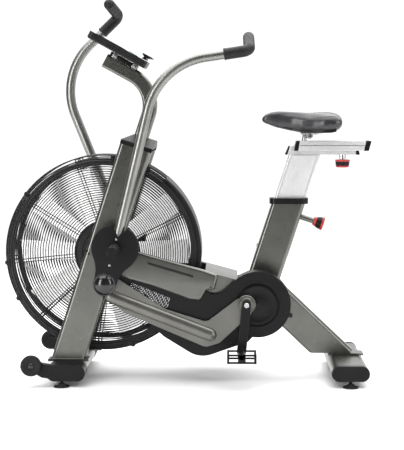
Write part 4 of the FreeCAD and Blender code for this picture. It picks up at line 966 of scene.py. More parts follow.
def cover_skirt():
    """Rim wall behind the cover's face, open where the tube leaves it."""
    outside = waisted(PIVOT, 85.0, EYE, 41.0, 121.0)
    inside = waisted(PIVOT, 82.6, EYE, 38.6, 123.4)
    skirt = plate_mesh([outside, inside], -239.0, -204.0, 0.8)
    bm = bmesh.new()
    bm.from_mesh(skirt)
    gone = []
    for face in bm.faces:
        x, _, z = face.calc_center_median() / MM
        if off_tube(x, z) < 17.0 and math.dist((x, z), PIVOT) > 70:
            gone.append(face)
    bmesh.ops.delete(bm, geom=gone, context="FACES")
    bm.to_mesh(skirt)
    bm.free()
    return skirt


def make_arm_cover(side, name):
    """Waisted moulding with a notch for the tube, a domed end and two screws."""
    outline = notched(waisted(PIVOT, 86.0, EYE, 42.0, 120.0))
    face = side_plate(LEFT, [outline, circle(PIVOT, 13.8, 32)], *COVER_LAYER, 3.0, 4)
    mesh = on_side(joined([face, cover_skirt()], 50.0), side)
    body = f"{name}_arm"
    even_normals(piece(f"cover_moulding_{name}", mesh, body, BLACK, "black_moulding",
                       f"arm_cover_{name}"))
    outside = -COVER_LAYER[1]
    dome = [(0.0, 15.0), (10, 14.1), (20, 11.3), (28, 7.0), (33, 2.0), (34.5, 0.5), (35.6, 1.4),
            (39.6, 1.8), (41.2, 0.6), (41.6, -2.0), (41.6, -8.0), (0, -8.0)]
    dome = lathe_mesh(dome, (EYE[0], outside, EYE[1]), (0, -1, 0), 64, 50.0)
    piece(f"cover_dome_{name}", on_side(dome, side), body, GLOSS, "black_moulding")
    screws = [socket_screw((x, outside, z), (0, -1, 0), 4.2) for x, z in ((-255, 539), (-280, 445))]
    piece(f"cover_screws_{name}", on_side(joined(screws), side), body, STEEL, "steel")


def socket_screw(at, axis, radius):
    """Button head screw with a hexagon socket."""
    profile = [(radius, -1.0), (radius, 0.4), (radius * 0.9, radius * 0.34), (radius * 0.62, radius * 0.52),
               (radius * 0.46, radius * 0.52), (radius * 0.42, radius * 0.1), (0, radius * 0.1)]
    return lathe_mesh([(0, -1.0)] + profile, at, axis, 24, 30.0)


def hex_bolt(at, axis, across, height):
    """Hexagon head with chamfered corners on a washer."""
    axis, side, up = axes_of(axis)
    corner = across / math.sqrt(3)
    rings = [ring_about(Vector(at) + axis * rise, side, up, radius, 6)
             for radius, rise in ((corner, 1.4), (corner, height - 0.8), (corner * 0.9, height))]
    head = rings_mesh(rings, False, 25.0)
    washer = [(0, -0.5), (corner * 1.22, -0.5), (corner * 1.22, 0.9), (corner * 1.16, 1.4), (0, 1.4)]
    return joined([head, lathe_mesh(washer, at, axis, 32, 30.0)], 25.0)


def make_foot_pegs():
    """Pegs on the pivot shafts: ribbed rubber sleeves between metal ends."""
    core = [(0, 167), (18, 167), (18, 173), (16.5, 175), (12, 175), (12, 244), (17, 244.2),
            (18.5, 245.6), (18.5, 252), (17, 253), (17, 360), (18.6, 361), (19, 363),
            (19, 367), (17.5, 369.4), (0, 369.4)]
    sleeve = [(17.2, 253.5)]
    reach = 254.0
    while reach < 359:
        sleeve += [(18.9, reach), (18.9, reach + 3.6), (17.8, reach + 4.0), (17.8, reach + 4.9)]
        reach += 5.2
    sleeve.append((17.2, 359.5))
    for side, name in SIDES:
        piece(f"peg_core_{name}", cross_lathe(core, PIVOT, side, 48), "frame", BLACK, "disc_black",
              *once(side, "foot_pegs"))
        piece(f"peg_sleeve_{name}", cross_lathe(sleeve, PIVOT, side, 48), "frame",
              RUBBER, "disc_black")


# ---- rods, cranks, pedals

# Layers of plates, as distances from the middle plane.
ROD_LAYER = (178.0, 184.0)
CRANK_LAYER = (203.0, 219.0)


def rod_bar(start, end):
    """Half-round bar with domed ends on the outside of the left rod's plate."""
    radius = 24.0
    sides = 16
    along = (end - start).normalized()
    across = Vector((-along.y, along.x))
    length = (end - start).length
    stations = [(-radius * math.cos(math.radians(a)), radius * math.sin(math.radians(a)))
                for a in (4, 20, 40, 60, 78)]
    stations += [(length * k / 12, radius) for k in range(13)]
    stations += [(length + radius * math.sin(math.radians(a)), radius * math.cos(math.radians(a)))
                 for a in (12, 30, 50, 70, 86)]
    rings = []
    for distance, r in stations:
        ring = []
        for k in range(sides + 1):
            angle = math.pi * k / sides
            spot = start + along * distance + across * r * math.cos(angle)
            ring.append((spot.x, 1.0 - ROD_LAYER[1] - r * 0.7 * math.sin(angle), spot.y))
        rings.append(ring)
    return rings_mesh(rings, False, 60.0)


def make_conrod(side, name):
    """Dog-leg plate with a half-round bar along its long limb and a bearing at the big end."""
    pin = PIN[LEFT]

    def at(x, z):
        return (pin[0] + x, pin[1] + z)

    limb = loop2((EYE[0] - 30, EYE[1] - 30, 22), (*at(-446, -34), 30), (*at(-150, -160), 34),
                 (*at(-98, -144), 26), (*at(28, -27), 24), (*at(-18, 31), 24), (*at(-146, -66), 30),
                 (*at(-300, -18), 90), (EYE[0] + 30, EYE[1] + 24, 22))
    bar = rod_bar(Vector(at(-495, 25.6)), Vector(at(-133, -114)))
    mesh = joined([side_plate(LEFT, [limb], *ROD_LAYER, 1.2), bar], 50.0)
    boss = cross_lathe([(10.2, 178), (33, 178), (34, 179), (34, 191), (32.5, 192.5), (31, 192.5),
                        (31, 189), (27, 189), (27, 199), (25.5, 200.8), (10.2, 200.8)], pin, LEFT, 64)
    if side == RIGHT:
        shift = Vector((PIN[RIGHT][0] - pin[0], 0, PIN[RIGHT][1] - pin[1])) * MM
        for part in (mesh, boss):
            turned_right(part)
            swung(part, rod_tilt(), pin)
            part.transform(Matrix.Translation(shift))
    even_normals(piece(f"rod_{name}", mesh, f"{name}_rod", ROD_PAINT, "arm_paint", f"conrod_{name}"))
    piece(f"rod_bearing_{name}", boss, f"{name}_rod", FRAME_PAINT, "steel")


def rod_tilt():
    """How much the right rod is turned from the left one, from where each arm holds its eye."""
    angles = []
    for pin, eye in ((PIN[LEFT], EYE), (PIN[RIGHT], spun(EYE, ARM_SWING))):
        angles.append(math.atan2(eye[1] - pin[1], eye[0] - pin[0]))
    return math.degrees((angles[1] - angles[0] + math.pi) % (2 * math.pi) - math.pi)


def make_cranks():
    """Dished discs, eccentric pins, tapered crank arms and spindles."""
    for side, name in SIDES:
        pin = PIN[side]
        pedal = PEDAL[side]
        disc = cross_lathe([(0, 168), (71.4, 168), (72, 168.8), (72, 173), (71.4, 175), (66, 175.8),
                            (62, 174.6), (30, 174.6), (26, 175.8), (0, 175.8)], CRANK, side, 96)
        stub = cross_lathe([(0, 175), (13, 175), (13, 177), (10, 177.6), (10, 203), (0, 203)], pin, side)
        piece(f"disc_{name}", joined([disc, stub], 30.0), "crank", BLACK, "disc_black",
              *once(side, "crank_discs"))
        screws = []
        for k in range(4):
            x, z = polar(CRANK, 46.0, 174.7 + 45 + 90 * k)
            screws.append(socket_screw((x, side * 174.8, z), (0, side, 0), 5.0))
        screws.append(cross_lathe([(0, 175.5), (9, 175.5), (9, 176.6), (7.8, 177.2), (5, 177.2),
                                   (4.6, 176.4), (0, 176.4)], CRANK, side))
        piece(f"disc_screws_{name}", joined(screws, 30.0), "crank", WIRE, "steel")
        arm = side_plate(side, [capsule(pin, 16.5, pedal, 17.5, 20)], *CRANK_LAYER, 4.0, 5)
        boss = cross_lathe([(0, 218), (13.5, 218), (13.5, 220), (12, 221.6), (0, 221.6)], pedal, side)
        even_normals(piece(f"crank_arm_{name}", joined([arm, boss], 50.0), "crank",
                           BLACK, "frame_paint", *once(side, "crank_arms")))
        cap = cross_lathe([(0, 218.5), (9.5, 218.5), (9.5, 220.6), (8.5, 221.8), (4.4, 221.8),
                           (4, 219.8), (0, 219.8)], pin, side)
        spindle = cross_lathe([(0, 219), (7, 219), (7, 226), (9, 226.5), (9, 230), (7, 230.5),
                               (7, 324), (5.5, 326), (0, 326)], pedal, side)
        piece(f"spindle_{name}", joined([cap, spindle], 30.0), "crank", STEEL, "steel",
              *once(side, "pedal_spindles"))


def make_pedal(side, name):
    """Platform pedal: a cage of bars with raised teeth, a hub barrel and reflectors."""
    cx, cz = PEDAL[side]
    inner = 231.5
    outer = 326.5
    y0, y1 = sorted((side * inner, side * outer))
    half = 53.0
    low = cz - 25.0
    high = cz + 9.0
    parts = []

    def bar(x, y, z, length, width, height):
        parts.append(box_mesh((cx + x, y, z), (cx + x + length, y + width, z + height), 2.0, 3))

    for x in (-half, half - 8):
        for z in (low, high - 9):
            bar(x, y0, z, 8, y1 - y0, 9)
        for y in (y0, y1 - 8):
            bar(x, y, low + 2, 8, 8, high - low - 4)
    for y in (y0, y1 - 7):
        for z in (low, high - 7):
            bar(4 - half, y, z, 2 * half - 8, 7, 7)
        bar(-14, y, low, 28, 7, high - low)
    barrel = [(7.3, inner), (11, inner), (12, inner + 2), (12, inner + 20), (10.5, inner + 28),
              (10.5, outer - 22), (12, outer - 14), (12, outer - 2), (11, outer), (7.3, outer)]
    parts.append(cross_lathe(barrel, PEDAL[side], side))
    bar(-9, y0 + 2, low + 2, 18, y1 - y0 - 4, cz - low - 8)
    for x in (-half + 1, half - 7):
        for k in range(7):
            y = y0 + 8 + (y1 - y0 - 22) * k / 6
            for z in (high - 1.0, low - 2.0):
                parts.append(box_mesh((cx + x, y, z), (cx + x + 6, y + 6, z + 3.0), 0.9, 1))
    body = f"{name}_pedal"
    piece(f"pedal_body_{name}", joined(parts, 50.0), body, BLACK, "pedal_plastic", f"pedal_{name}")
    lenses = [box_mesh((cx + x, y0 + 20, low + 8.5), (cx + x + 3, y1 - 20, high - 8.5), 0.9)
              for x in (-half + 2.5, half - 5.5)]
    piece(f"pedal_lenses_{name}", joined(lenses, 50.0), body, DARK_PLASTIC, "pedal_plastic")


# ---- frame details

def softened(node, width):
    """Rounded edges on a CAD node that stays in view."""
    item = frame["nodes"][node]
    bevel = item.modifiers.new("rounding", "BEVEL")
    bevel.width = width * MM
    bevel.segments = 2
    bevel.limit_method = "ANGLE"
    bevel.angle_limit = math.radians(40)
    bevel.harden_normals = True
    even_normals(item)


def soften_frame():
    """Edge roundings of the CAD nodes that stay in view, in millimetres."""
    widths = {
        "top_bridge": 2.5, "front_stabilizer": 1.0, "rear_stabilizer": 1.0,
        "rear_caps": 3.0, "front_boots": 2.0, "side_rails": 2.0, "cross_beam": 2.0,
        "seat_tube_collar": 2.5,
        "chain_guard_left": 1.5, "chain_guard_right": 1.5,
        "console_housing": 1.5, "start_button": 0.6, "stop_button": 0.6,
    }
    for node, width in widths.items():
        softened(node, width)


def weld_bead(path):
    """Stacked-coin bead along a joint."""
    dense = every(path, 1.3, 2)
    radii = [1.8 + 0.4 * abs(math.sin(k * 1.1)) for k in range(len(dense))]
    return tube_mesh(dense, radii, 8)


def level_loop(middle_x, z, width_x, width_y, corner, middle_y=0.0):
    """Level rounded rectangle round a leaning tube."""
    a = width_x / 2
    b = width_y / 2
    loop = rounded([(middle_x - a, middle_y - b, corner), (middle_x + a, middle_y - b, corner),
                    (middle_x + a, middle_y + b, corner), (middle_x - a, middle_y + b, corner)])
    return [(x, y, z) for x, y in loop]


def make_welds():
    """Beads where the uprights stand on their foot plate."""
    plate_top = 87.0
    depth = 120.0 / math.cos(math.radians(LEAN))
    middle = leaning_x(FAN, plate_top)
    beads = []
    for side in (LEFT, RIGHT):
        loop = level_loop(middle, plate_top + 0.6, depth + 2, 57.0, 14.0, side * 139.5)
        beads.append(weld_bead(loop + loop[:1]))
    piece("upright_welds", joined(beads, 60.0), "frame", FRAME_PAINT, "frame_paint")


GUARD_RADIUS = {LEFT: 122.0, RIGHT: 90.0}
GUARD_WINDOW = {LEFT: 80.5, RIGHT: 76.5}


def make_frame_screws():
    """Hexagon bolts on the guards and the fan axle, and small screws on the uprights."""
    bolts = []
    small = []
    for side in (LEFT, RIGHT):
        radius = GUARD_RADIUS[side]
        axis = (0, side, 0)
        for angle in (113.0, 268.0):
            x, z = polar(CRANK, radius - 9, angle)
            bolts.append(hex_bolt((x, side * 170.0, z), axis, 7.0, 4.0))
        for x, z in ((161.0, 152.0), polar(CRANK, radius + 4, -18.0)):
            bolts.append(hex_bolt((x, side * 170.0, z), axis, 9.0, 4.0))
        bolts.append(hex_bolt((FAN[0], side * 167.0, FAN[1]), axis, 24.0, 8.0))
        for rise in (-334.0, -108.0, 108.0, 334.0):
            bolts.append(cross_lathe(drum(0, 7, 90, 112, 1), polar(FAN, rise, UP_LEAN), side, 24))
        for x, z in ((-371.0, 489.0), (-362.0, 479.0)):
            small.append(socket_screw((x, side * 167.0, z), axis, 4.5))
    piece("frame_screws", joined(bolts, 30.0), "frame", WIRE, "steel", "frame_bolts")
    piece("upright_screws", joined(small, 30.0), "frame", WIRE, "steel")


def make_guard_rings():
    """Raised ring round each guard's window, and a dark ring step behind it."""
    for side, name in SIDES:
        hole = GUARD_WINDOW[side]
        ring = side_plate(side, [circle(CRANK, hole + 9, 96), circle(CRANK, hole, 96)],
                          169.4, 172.2, 1.2)
        even_normals(piece(f"guard_ring_{name}", ring, "frame", BLACK, "black_moulding"))
        backing = side_plate(side, [circle(CRANK, hole + 6, 96), circle(CRANK, 58.0, 96)],
                             162.0, 164.5, 0.5)
        piece(f"guard_backing_{name}", backing, "frame", BLACK, "black_moulding")


FAR_COVER_DROP = 42.0
RAIL_SLOPE = math.tan(math.radians(15.0))


def make_side_covers():
    """Silver covers with fully rounded rims, each with a plain dark stripe; the far one is lower."""
    for side, name in SIDES:
        drop = 0.0 if side == LEFT else FAR_COVER_DROP
        outline = [(-240, 504, 0), (61, 421, 150), (115, 402, 10), (101, 346, 4), (72, 347, 12),
                   (49, 306, 16), (8, 310, 30), (-126, 359, 200), (-276, 402, 0)]
        shell = side_plate(side, [loop2(*[(x, z - drop, radius) for x, z, radius in outline])],
                           150.5, 175.0, 12.0, 6)
        piece(f"side_cover_moulding_{name}", shell, "frame", SILVER, "silver_moulding",
              f"side_cover_{name}")
        corners = [(x, z - drop, 3) for x, z in ((-150, 452), (20, 402), (28, 390), (-142, 440))]
        stripe = side_plate(side, [loop2(*corners)], 174.6, 175.6, 0.3)
        piece(f"cover_stripe_{name}", stripe, "frame", DARK_PLASTIC, "silver_moulding")


def make_beam_cover():
    """Flat cover over the side rails behind the fan."""
    front = 66.0
    rear = limits("side_rails")[1][0] - 1.0
    top = [(x, 398.5 - RAIL_SLOPE * (x - 119.0)) for x in (front, rear)]
    loop = loop2(*top, (rear, top[1][1] - 4), (front, top[0][1] - 4))
    piece("beam_cover", plate_mesh([loop], -149.0, 149.0, 0.8), "frame", FRAME_PAINT, "frame_paint")


def make_cage_clips():
    """Bolted clips round the rim that hold the two halves of the cage together."""
    tabs = []
    screws = []
    for angle in (62.0, 83.5, 142.0, 185.5, 208.0, 246.0, 288.0):
        at = polar(FAN, RING + 17, angle)
        tabs.append(cross_lathe(drum(0, 10, CAGE_INSIDE, 93.0, 1), at, LEFT, 24))
        screws.append(socket_screw((at[0], -93.0, at[1]), (0, -1, 0), 4.5))
    piece("cage_clips", joined(tabs, 30.0), "frame", WIRE, "black_wire")
    piece("cage_clip_screws", joined(screws, 30.0), "frame", WIRE, "steel")


# ---- base

def make_wheels():
    """Rubber tyre on a spoked plastic hub, with a capped axle."""
    for side, name in SIDES:
        low, high = limits(f"wheel_{name}")
        x, _, z = (low + high) / 2
        at = (x, side * 276.0, z)
        axis = (0, side, 0)
        tyre = lathe_mesh([(26, -10), (30, -11), (35, -11), (37, -9.5), (38, -6), (38, 6), (37, 9.5),
                           (35, 11), (30, 11), (26, 10)], at, axis, 72, 40.0)
        piece(f"tyre_{name}", tyre, f"{name}_wheel", RUBBER, "wheel_rubber", f"wheel_{name}")
        holes = [circle(polar((x, z), 19.0, 60.0 * k + 30), 4.5, 20) for k in range(6)]
        hub = side_plate(side, [circle((x, z), 27.0, 64), *holes], 272.0, 281.0, 1.2)
        core = lathe_mesh(drum(6.3, 13, -11, 11, 1), at, axis, 36, 40.0)
        piece(f"hub_{name}", joined([hub, core], 40.0), f"{name}_wheel", BLACK, "wheel_rubber")
        cap = lathe_mesh([(0, 10.5), (10, 10.5), (10, 12), (8, 14), (4, 15), (0, 15.2)],
                         at, axis, 32, 30.0)
        piece(f"axle_cap_{name}", cap, "frame", GLOSS, "steel")


def foot_mesh(x, y):
    """A levelling foot: rubber disc with a ribbed rim, and a threaded stud."""
    profile = [(0, 0), (28, 0), (29, 0.8), (29, 3.4), (28, 4.6), (24, 6.0), (15, 9.5), (12, 13), (7, 15)]
    reach = 15.5
    while reach < 54:
        profile += [(5.9, reach), (5.3, reach + 0.8)]
        reach += 1.6
    profile.append((0, 55))
    meshes = [lathe_mesh(profile, (x, y, 0), (0, 0, 1), 56, 40.0)]
    for k in range(24):
        angle = math.radians(15.0 * k)
        spot = (x + 28.2 * math.cos(angle), y + 28.2 * math.sin(angle), 2.2)
        rib = [(0, -1.3), (1.0, -1.3), (1.0, 1.3), (0, 1.3)]
        meshes.append(lathe_mesh(rib, spot, (0, 0, 1), 8, 40.0))
    return joined(meshes, 40.0)


def make_feet():
    """A foot at each end of both stabilizers."""
    for corner in ("front_left", "front_right", "rear_left", "rear_right"):
        node = f"foot_{corner}"
        low, high = limits(node)
        x, y, _ = (low + high) / 2
        piece(f"{node}_rubber", foot_mesh(x, y), f"{corner}_foot", RUBBER, "foot_black", node)


# ---- seat

RAIL_HALF = 22.0
SLIDER_KNOB_X = 580.0
POST_TOP = 838.0
RAIL_TOP = 871.0


def level_section(z, width, thick, corner):
    """Level cut through a tube that leans with the seat tube."""
    return level_loop(leaning_x(CRANK, z), z, width / math.cos(math.radians(LEAN)), thick, corner)


def slanted_block(front_low, front_high, rear_low, rear_high, half, bevel):
    """Bar of the fixed rail's height with slanted ends, across the middle plane."""
    loop = loop2((front_low, POST_TOP, 1.5), (rear_low, POST_TOP, 1.5),
                 (rear_high, RAIL_TOP, 1.5), (front_high, RAIL_TOP, 1.5))
    return plate_mesh([loop], -half, half, bevel, 3)


def make_post():
    """Post with a dull panel on each side, and the fixed rail with black ends on top of it."""
    bottom = limits("seat_post")[0][2] + 20
    top = POST_TOP + 0.5
    rings = [level_section(bottom + (top - bottom) * k / 12, 112.0, 50.0, 8.0) for k in range(13)]
    piece("post_tube", rings_mesh(rings, False, 40.0), "post", POST, "aluminium", "seat_post")
    corners = [(leaning_x(CRANK, z) + edge * 46.0, z, 3)
               for z, edge in ((680.0, -1), (680.0, 1), (834.0, 1), (834.0, -1))]
    panels = [side_plate(side, [loop2(*corners)], 24.4, 25.4, 0.3, 2) for side in (LEFT, RIGHT)]
    piece("post_panels", joined(panels, 30.0), "post", PANEL, "aluminium")
    rail = slanted_block(371, 381, 630, 626, RAIL_HALF, 1.2)
    even_normals(piece("fixed_rail", rail, "post", RAIL, "aluminium"))
    barrel = lathe_mesh([(6.2, 822), (12, 822), (13, 823), (13, POST_TOP), (6.2, POST_TOP)],
                        (SLIDER_KNOB_X, 0, 0), (0, 0, 1), 36, 30.0)
    piece("rail_barrel", barrel, "post", STEEL, "aluminium")
    caps = [slanted_block(*ends, RAIL_HALF + 0.6, 1.5)
            for ends in ((363, 377, 372, 382), (629, 625, 643, 637))]
    even_normals(piece("rail_caps", joined(caps, 50.0), "post", BLACK, "aluminium"))


SLIDER_REAR = 685.5
SLIDER_FRONT = SLIDER_REAR - 290.0
CLAMP = (455.0, 911.0)


def slider_loop(*corners):
    """Outline from corners (end, x, z, radius), where x is measured from an end of the slider."""
    return loop2(*[(end + x, *rest) for end, x, *rest in corners])


def channel(wall, deck, bevel):
    """Both side walls and the deck of a stretch of channel, from their outlines."""
    walls = [side_plate(side, [wall], 23.0, 35.0, bevel) for side in (LEFT, RIGHT)]
    return [*walls, plate_mesh([deck], -30.0, 30.0, 1.0)]


def make_slider():
    """Sliding rail: a channel with dark lines painted where the shade of its grooves falls, black slanted ends, a
    stem and a clamp.
    """
    front = SLIDER_FRONT
    rear = SLIDER_REAR
    wall = slider_loop((front, 16, 853.5), (rear, -28, 853.5), (rear, -20, 890), (front, 22, 890))
    deck = slider_loop((front, 20, 873), (rear, -24, 873), (rear, -20, 890), (front, 22, 890))
    even_normals(piece("slider_rail", joined(channel(wall, deck, 1.4), 50.0), "slider",
                       RAIL, "aluminium", "seat_slider"))
    # Painted shade: thin dark plastic lines along the walls stand in for the shade inside the grooves.
    groove_shade_lines = [tube_mesh([(front + 24, side * 35.0, 873.0), (rear - 26, side * 35.0, 873.0)], 0.9, 8)
               for side in (LEFT, RIGHT)]
    piece("slider_groove_shade_lines", joined(groove_shade_lines, 30.0), "slider", DARK_PLASTIC, "aluminium")
    walls = (slider_loop((front, 0, 853, 2), (front, 17, 853), (front, 23, 890), (front, 10, 890, 3)),
             slider_loop((rear, -29, 853), (rear, -10, 853, 2), (rear, 0, 890, 3), (rear, -21, 890)))
    decks = (slider_loop((front, 5, 873), (front, 19, 873), (front, 23, 890), (front, 10, 890, 3)),
             slider_loop((rear, -25, 873), (rear, -5, 873), (rear, 0, 890, 3), (rear, -21, 890)))
    caps = [mesh for pair in zip(walls, decks) for mesh in channel(*pair, 1.2)]
    even_normals(piece("slider_caps", joined(caps, 50.0), "slider", BLACK, "aluminium"))
    stem = lathe_mesh([(0, 886), (11, 886), (11, 889), (9.5, 891), (9.5, 908), (8, 910), (0, 910)],
                      (436.0, 0, 0), (0, 0, 1), 32, 30.0)
    piece("saddle_stem", stem, "slider", STEEL, "aluminium")
    clamp = lathe_mesh([(5.3, -16.8), (12, -16.8), (13, -15.6), (13, 15.6), (12, 16.8), (5.3, 16.8)],
                       (CLAMP[0], 0, CLAMP[1]), (0, 1, 0), 36, 30.0)
    block = box_mesh((428, -12, 901), (462, 12, 915), 2.5, 3)
    piece("saddle_clamp", joined([clamp, block], 40.0), "slider", STEEL, "aluminium")


SADDLE_TOP = ((270, 972), (278, 987), (292, 997), (310, 1001), (360, 999), (448, 994), (505, 997),
              (551, 998), (569, 989), (579, 970))
SADDLE_BOTTOM = ((270, 963), (284, 954), (330, 943), (380, 932), (429, 923), (480, 921), (529, 922),
                 (560, 928), (579, 950))
SADDLE_HALF = ((275, 12), (282, 19), (300, 25), (340, 31), (385, 40), (425, 58), (465, 84), (505, 102),
               (545, 107), (567, 100), (579, 86))


def along_table(table, x):
    """Straight-line reading of a table of (x, value)."""
    for (x0, a), (x1, b) in zip(table, table[1:]):
        if x <= x1:
            share = (x - x0) / (x1 - x0)
            return a + (b - a) * max(0.0, share)
    return table[-1][1]


def saddle_rings(shrink):
    """Cross sections of the saddle pad from nose to rear, a little smaller than the finished pad."""
    rings = []
    stations = 44
    first = SADDLE_TOP[0][0] + shrink
    last = SADDLE_TOP[-1][0] - shrink
    for k in range(stations + 1):
        x = first + (last - first) * k / stations
        top = along_table(SADDLE_TOP, x) - shrink
        bottom = along_table(SADDLE_BOTTOM, x) + shrink * 0.5
        half = along_table(SADDLE_HALF, x) - shrink
        middle = (top + bottom) / 2
        rise = (top - bottom) / 2
        ring = []
        count = 44
        for j in range(count):
            angle = 2 * math.pi * j / count
            across = math.copysign(abs(math.cos(angle)) ** 0.6, math.cos(angle))
            height = math.copysign(abs(math.sin(angle)) ** 0.62, math.sin(angle))
            crown = 5.0 * across ** 2 * (half / 105.0)
            tuck = 1 + 0.06 * min(0.0, height)
            ring.append((x, half * across * tuck, middle + rise * height - crown))
        rings.append(ring)
    return rings


def puffed(item, pressure, cap):
    """Swell a closed pad as cloth under pressure; no point moves further than the cap."""
    remesh = item.modifiers.new("remesh", "REMESH")
    remesh.mode = "VOXEL"
    remesh.voxel_size = 5.0 * MM
    bake_modifiers(item)
    rest = [vert.co.copy() for vert in item.data.vertices]
    cloth = item.modifiers.new("cloth", "CLOTH")
    cloth.settings.quality = 6
    cloth.settings.mass = 0.3
    cloth.settings.tension_stiffness = 18
    cloth.settings.compression_stiffness = 18
    cloth.settings.bending_stiffness = 2.0
    cloth.settings.use_pressure = True
    cloth.settings.uniform_pressure_force = pressure
    cloth.settings.effector_weights.gravity = 0
    for step in range(1, 21):
        scene.frame_set(step)
    graph = bpy.context.evaluated_depsgraph_get()
    swollen = [vert.co.copy() for vert in item.evaluated_get(graph).data.vertices]
    item.modifiers.remove(cloth)
    scene.frame_set(1)
    for vert, start, end in zip(item.data.vertices, rest, swollen):
        move = end - start
        if move.length > cap * MM:
            move = move.normalized() * cap * MM
        vert.co = start + move
    smooth = item.modifiers.new("smooth", "SMOOTH")
    smooth.factor = 0.5
    smooth.iterations = 6
    subdivide = item.modifiers.new("subdivide", "SUBSURF")
    subdivide.levels = 1
    subdivide.render_levels = 1
    bake_modifiers(item)
    smoothed(item.data, 60.0)


def bake_modifiers(item):
    """Replace a piece's mesh by the result of its modifiers."""
    mesh = evaluated_mesh(item)
    item.modifiers.clear()
    item.data = mesh


def saddle_seam(pad):
    """Piping in a loop on top of the pad."""
    spots = []
    for k in range(61):
        x = 292.0 + (556.0 - 292.0) * k / 60
        spots.append((x, along_table(SADDLE_HALF, x) * 0.80))
    path = []
    for x, y in spots + [(x, -y) for x, y in reversed(spots)]:
        hit, place, *_ = pad.ray_cast(Vector((x, y, 1100.0)) * MM, Vector((0, 0, -1)))
        if hit:
            path.append(place / MM)
    return joined([tube_mesh(path, 0.9, 8, True)], 60.0)


def saddle_base():
    """Moulded shell under the pad, a little inside its outline."""
    stations = [300.0 + (550.0 - 300.0) * k / 40 for k in range(41)]
    rings = []
    for drop, inset in ((6.0, 9.0), (0.0, 8.0), (-4.0, 9.0), (-5.0, 12.0)):
        edge = []
        for x in stations:
            half = max(4.0, along_table(SADDLE_HALF, x) - inset - 9.0)
            dish = 3.0 * (half / 105.0) ** 2
            edge.append((x, half, along_table(SADDLE_BOTTOM, x) + drop + 6.0 - dish))
        rings.append(edge + [(x, -half, z) for x, half, z in reversed(edge)])
    return rings_mesh(rings, False, 40.0)


def make_saddle():
    """Foam pad in vinyl, puffed as cloth, with a top seam, on a moulded base with its rails."""
    mesh = rings_mesh(saddle_rings(5.0), False, 60.0)
    pad = piece("saddle_pad", mesh, "saddle", VINYL, "vinyl", "saddle")
    puffed(pad, pressure=4.0, cap=6.0)
    piece("saddle_seam", saddle_seam(pad), "saddle", VINYL, "vinyl")
    piece("saddle_base", saddle_base(), "saddle", BLACK, "vinyl")
    x, z = CLAMP
    ear = capsule((x, 940.0), 14.0, CLAMP, 11.0, 16)
    rails = []
    for side in (LEFT, RIGHT):
        path = rounded([(405, side * 14, 934, 0), (425, side * 22, 917, 10), (482, side * 22, 917, 10),
                        (500, side * 30, 930, 0)], closed=False)
        rails.append(tube_mesh(path, 3.5, 12))
        rails.append(side_plate(side, [ear], 17.5, 21.5, 0.8))
        rails.append(hex_bolt((x, side * 21.5, z), (0, side, 0), 12.0, 6.0))
    piece("saddle_rails", joined(rails, 40.0), "saddle", STEEL, "vinyl")


# ---- knobs

def knob_parts(at, axis, neck, first, last, start, length):
    """Red tapered head with a ribbed black band, from its neck to its outer end."""
    def radius(share):
        return first + (last - first) * share

    head_profile = [(0, start), (neck, start)]
    for share, scale in ((0.02, 0.92), (0.08, 1.0), (0.26, 1.0), (0.3, 0.86), (0.74, 0.86), (0.78, 1.0),
                         (0.92, 1.0), (0.98, 0.94), (1.0, 0.8)):
        head_profile.append((radius(share) * scale, start + length * share))
    head_profile.append((0, start + length))
    head = lathe_mesh(head_profile, at, axis, 56, 35.0)
    band_profile = [(radius(share) * scale, start + length * share)
                    for share, scale in ((0.28, 0.8), (0.3, 0.96), (0.5, 0.95), (0.74, 0.96), (0.76, 0.8))]
    band = lathe_mesh(band_profile, at, axis, 56, 35.0)
    ribs = []
    axis, side, up = axes_of(axis)
    for k in range(18):
        angle = math.radians(20.0 * k)
        out = side * math.cos(angle) + up * math.sin(angle)
        ends = [Vector(at) + axis * (start + length * share) + out * radius(share) * 0.95
                for share in (0.33, 0.71)]
        ribs.append(tube_mesh(ends, 1.2, 8))
    return head, joined([band, *ribs], 35.0)


def make_knob(name, at, axis, shape, plunger):
    """A pull knob in three pieces; the plunger goes through the tube or rail."""
    head, band = knob_parts(at, axis, *shape)
    piece(f"{name}_head", head, name, RED, "knob_plastic", name)
    piece(f"{name}_band", band, name, BLACK, "knob_plastic")
    piece(f"{name}_plunger", lathe_mesh(plunger, at, axis, 24, 30.0), name, STEEL, "knob_plastic")


def make_knobs():
    """Pull knobs of the seat post, square to the tube, and of the slider, below the rail."""
    lean = math.radians(LEAN)
    x, z = polar(polar(CRANK, 347.0, UP_LEAN), 60.0, -LEAN)
    make_knob("post_knob", (x, 0, z), Vector((math.cos(lean), 0, -math.sin(lean))),
              (12.0, 15.0, 27.0, 50.5, 40.0), [(0, -2.8), (5.2, -2.8), (6, -1.8), (6, 51), (0, 51)])
    make_knob("slider_knob", (SLIDER_KNOB_X, 0, POST_TOP), Vector((0, 0, -1)),
              (13.0, 28.5, 24.5, 18.0, 30.0), [(0, -30), (5.2, -30), (6, -29), (6, 17), (0, 17)])


# ---- console

CONSOLE_TILT = 28.7
CONSOLE_HALF_THICKNESS = 14.0


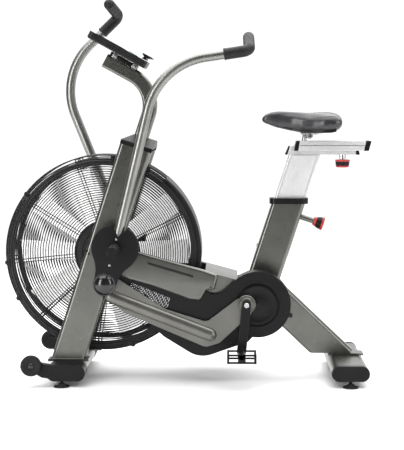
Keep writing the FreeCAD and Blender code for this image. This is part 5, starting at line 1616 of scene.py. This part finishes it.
def console_place(mesh):
    """Move a mesh from the console's own frame (top face at Z 0) into place."""
    low, high = limits("console_housing")
    turn = Matrix.Rotation(math.radians(CONSOLE_TILT), 4, "Y")
    top = (low + high) / 2 + turn.to_3x3() @ Vector((0, 0, CONSOLE_HALF_THICKNESS))
    mesh.transform(Matrix.Translation(top * MM) @ turn)
    return mesh


def console_piece(name, mesh, material, slot, *nodes):
    """A piece of the frame that is drawn in the console's own frame."""
    piece(name, console_place(mesh), "frame", material, slot, *nodes)


def make_console():
    """Display behind a bezel, the ledge at the console's lower end, its keys and brackets."""
    console_piece("console_pane", box_mesh((-96, -61, -2.0), (20, 61, -0.4), 0.5),
                  GLOSS, "display", "console_lens")
    console_piece("console_screen", box_mesh((-84, -46, -0.6), (8, 46, 0.0), 0.25), DISPLAY, "display")
    ledge = plate_mesh([loop2((92, 0, 1), (111, 0, 2), (108, 9, 2), (128, 16, 1), (127, 20, 1),
                              (88, 20, 1), (87, 16, 1), (98, 9, 2))], -55.0, 55.0, 0.8)
    console_piece("console_ledge", ledge, BLACK, "console_plastic", "console_brackets")
    console_piece("console_riser", box_mesh((-20, -30, -52), (92, 30, -31), 1.5), BLACK, "aluminium")
    tabs = [box_mesh((-8, -39, -31), (92, 39, -28), 0.8)]
    for x in (-8, 74):
        for side in (LEFT, RIGHT):
            tabs.append(box_mesh((x, side * 37.0 - 2, -48), (x + 18, side * 37.0 + 2, -28), 0.8))
            tabs.append(socket_screw((x + 9, side * 39.0, -40), (0, side, 0), 3.5))
    console_piece("console_tabs", joined(tabs, 40.0), STEEL, "aluminium")
    keys = [box_mesh((40, y - 7, -0.5), (50, y + 7, 1.2), 0.8, 3) for y in (-48, -24, 0, 24, 48)]
    console_piece("console_keys", joined(keys, 40.0), DARK_PLASTIC, "console_plastic")


# ---- assembly

make_camera()
make_studio()
finish_cad_nodes()
soften_frame()
make_welds()
make_frame_screws()
make_guard_rings()
make_side_covers()
make_beam_cover()
make_cage()
make_cage_clips()
make_shroud()
make_blades()
for side, name in SIDES:
    make_arm_tube(side, name)
    make_grip(side, name)
    make_arm_cover(side, name)
    make_conrod(side, name)
    make_pedal(side, name)
make_foot_pegs()
make_cranks()
make_wheels()
make_feet()
make_post()
make_slider()
make_saddle()
make_knobs()
make_console()
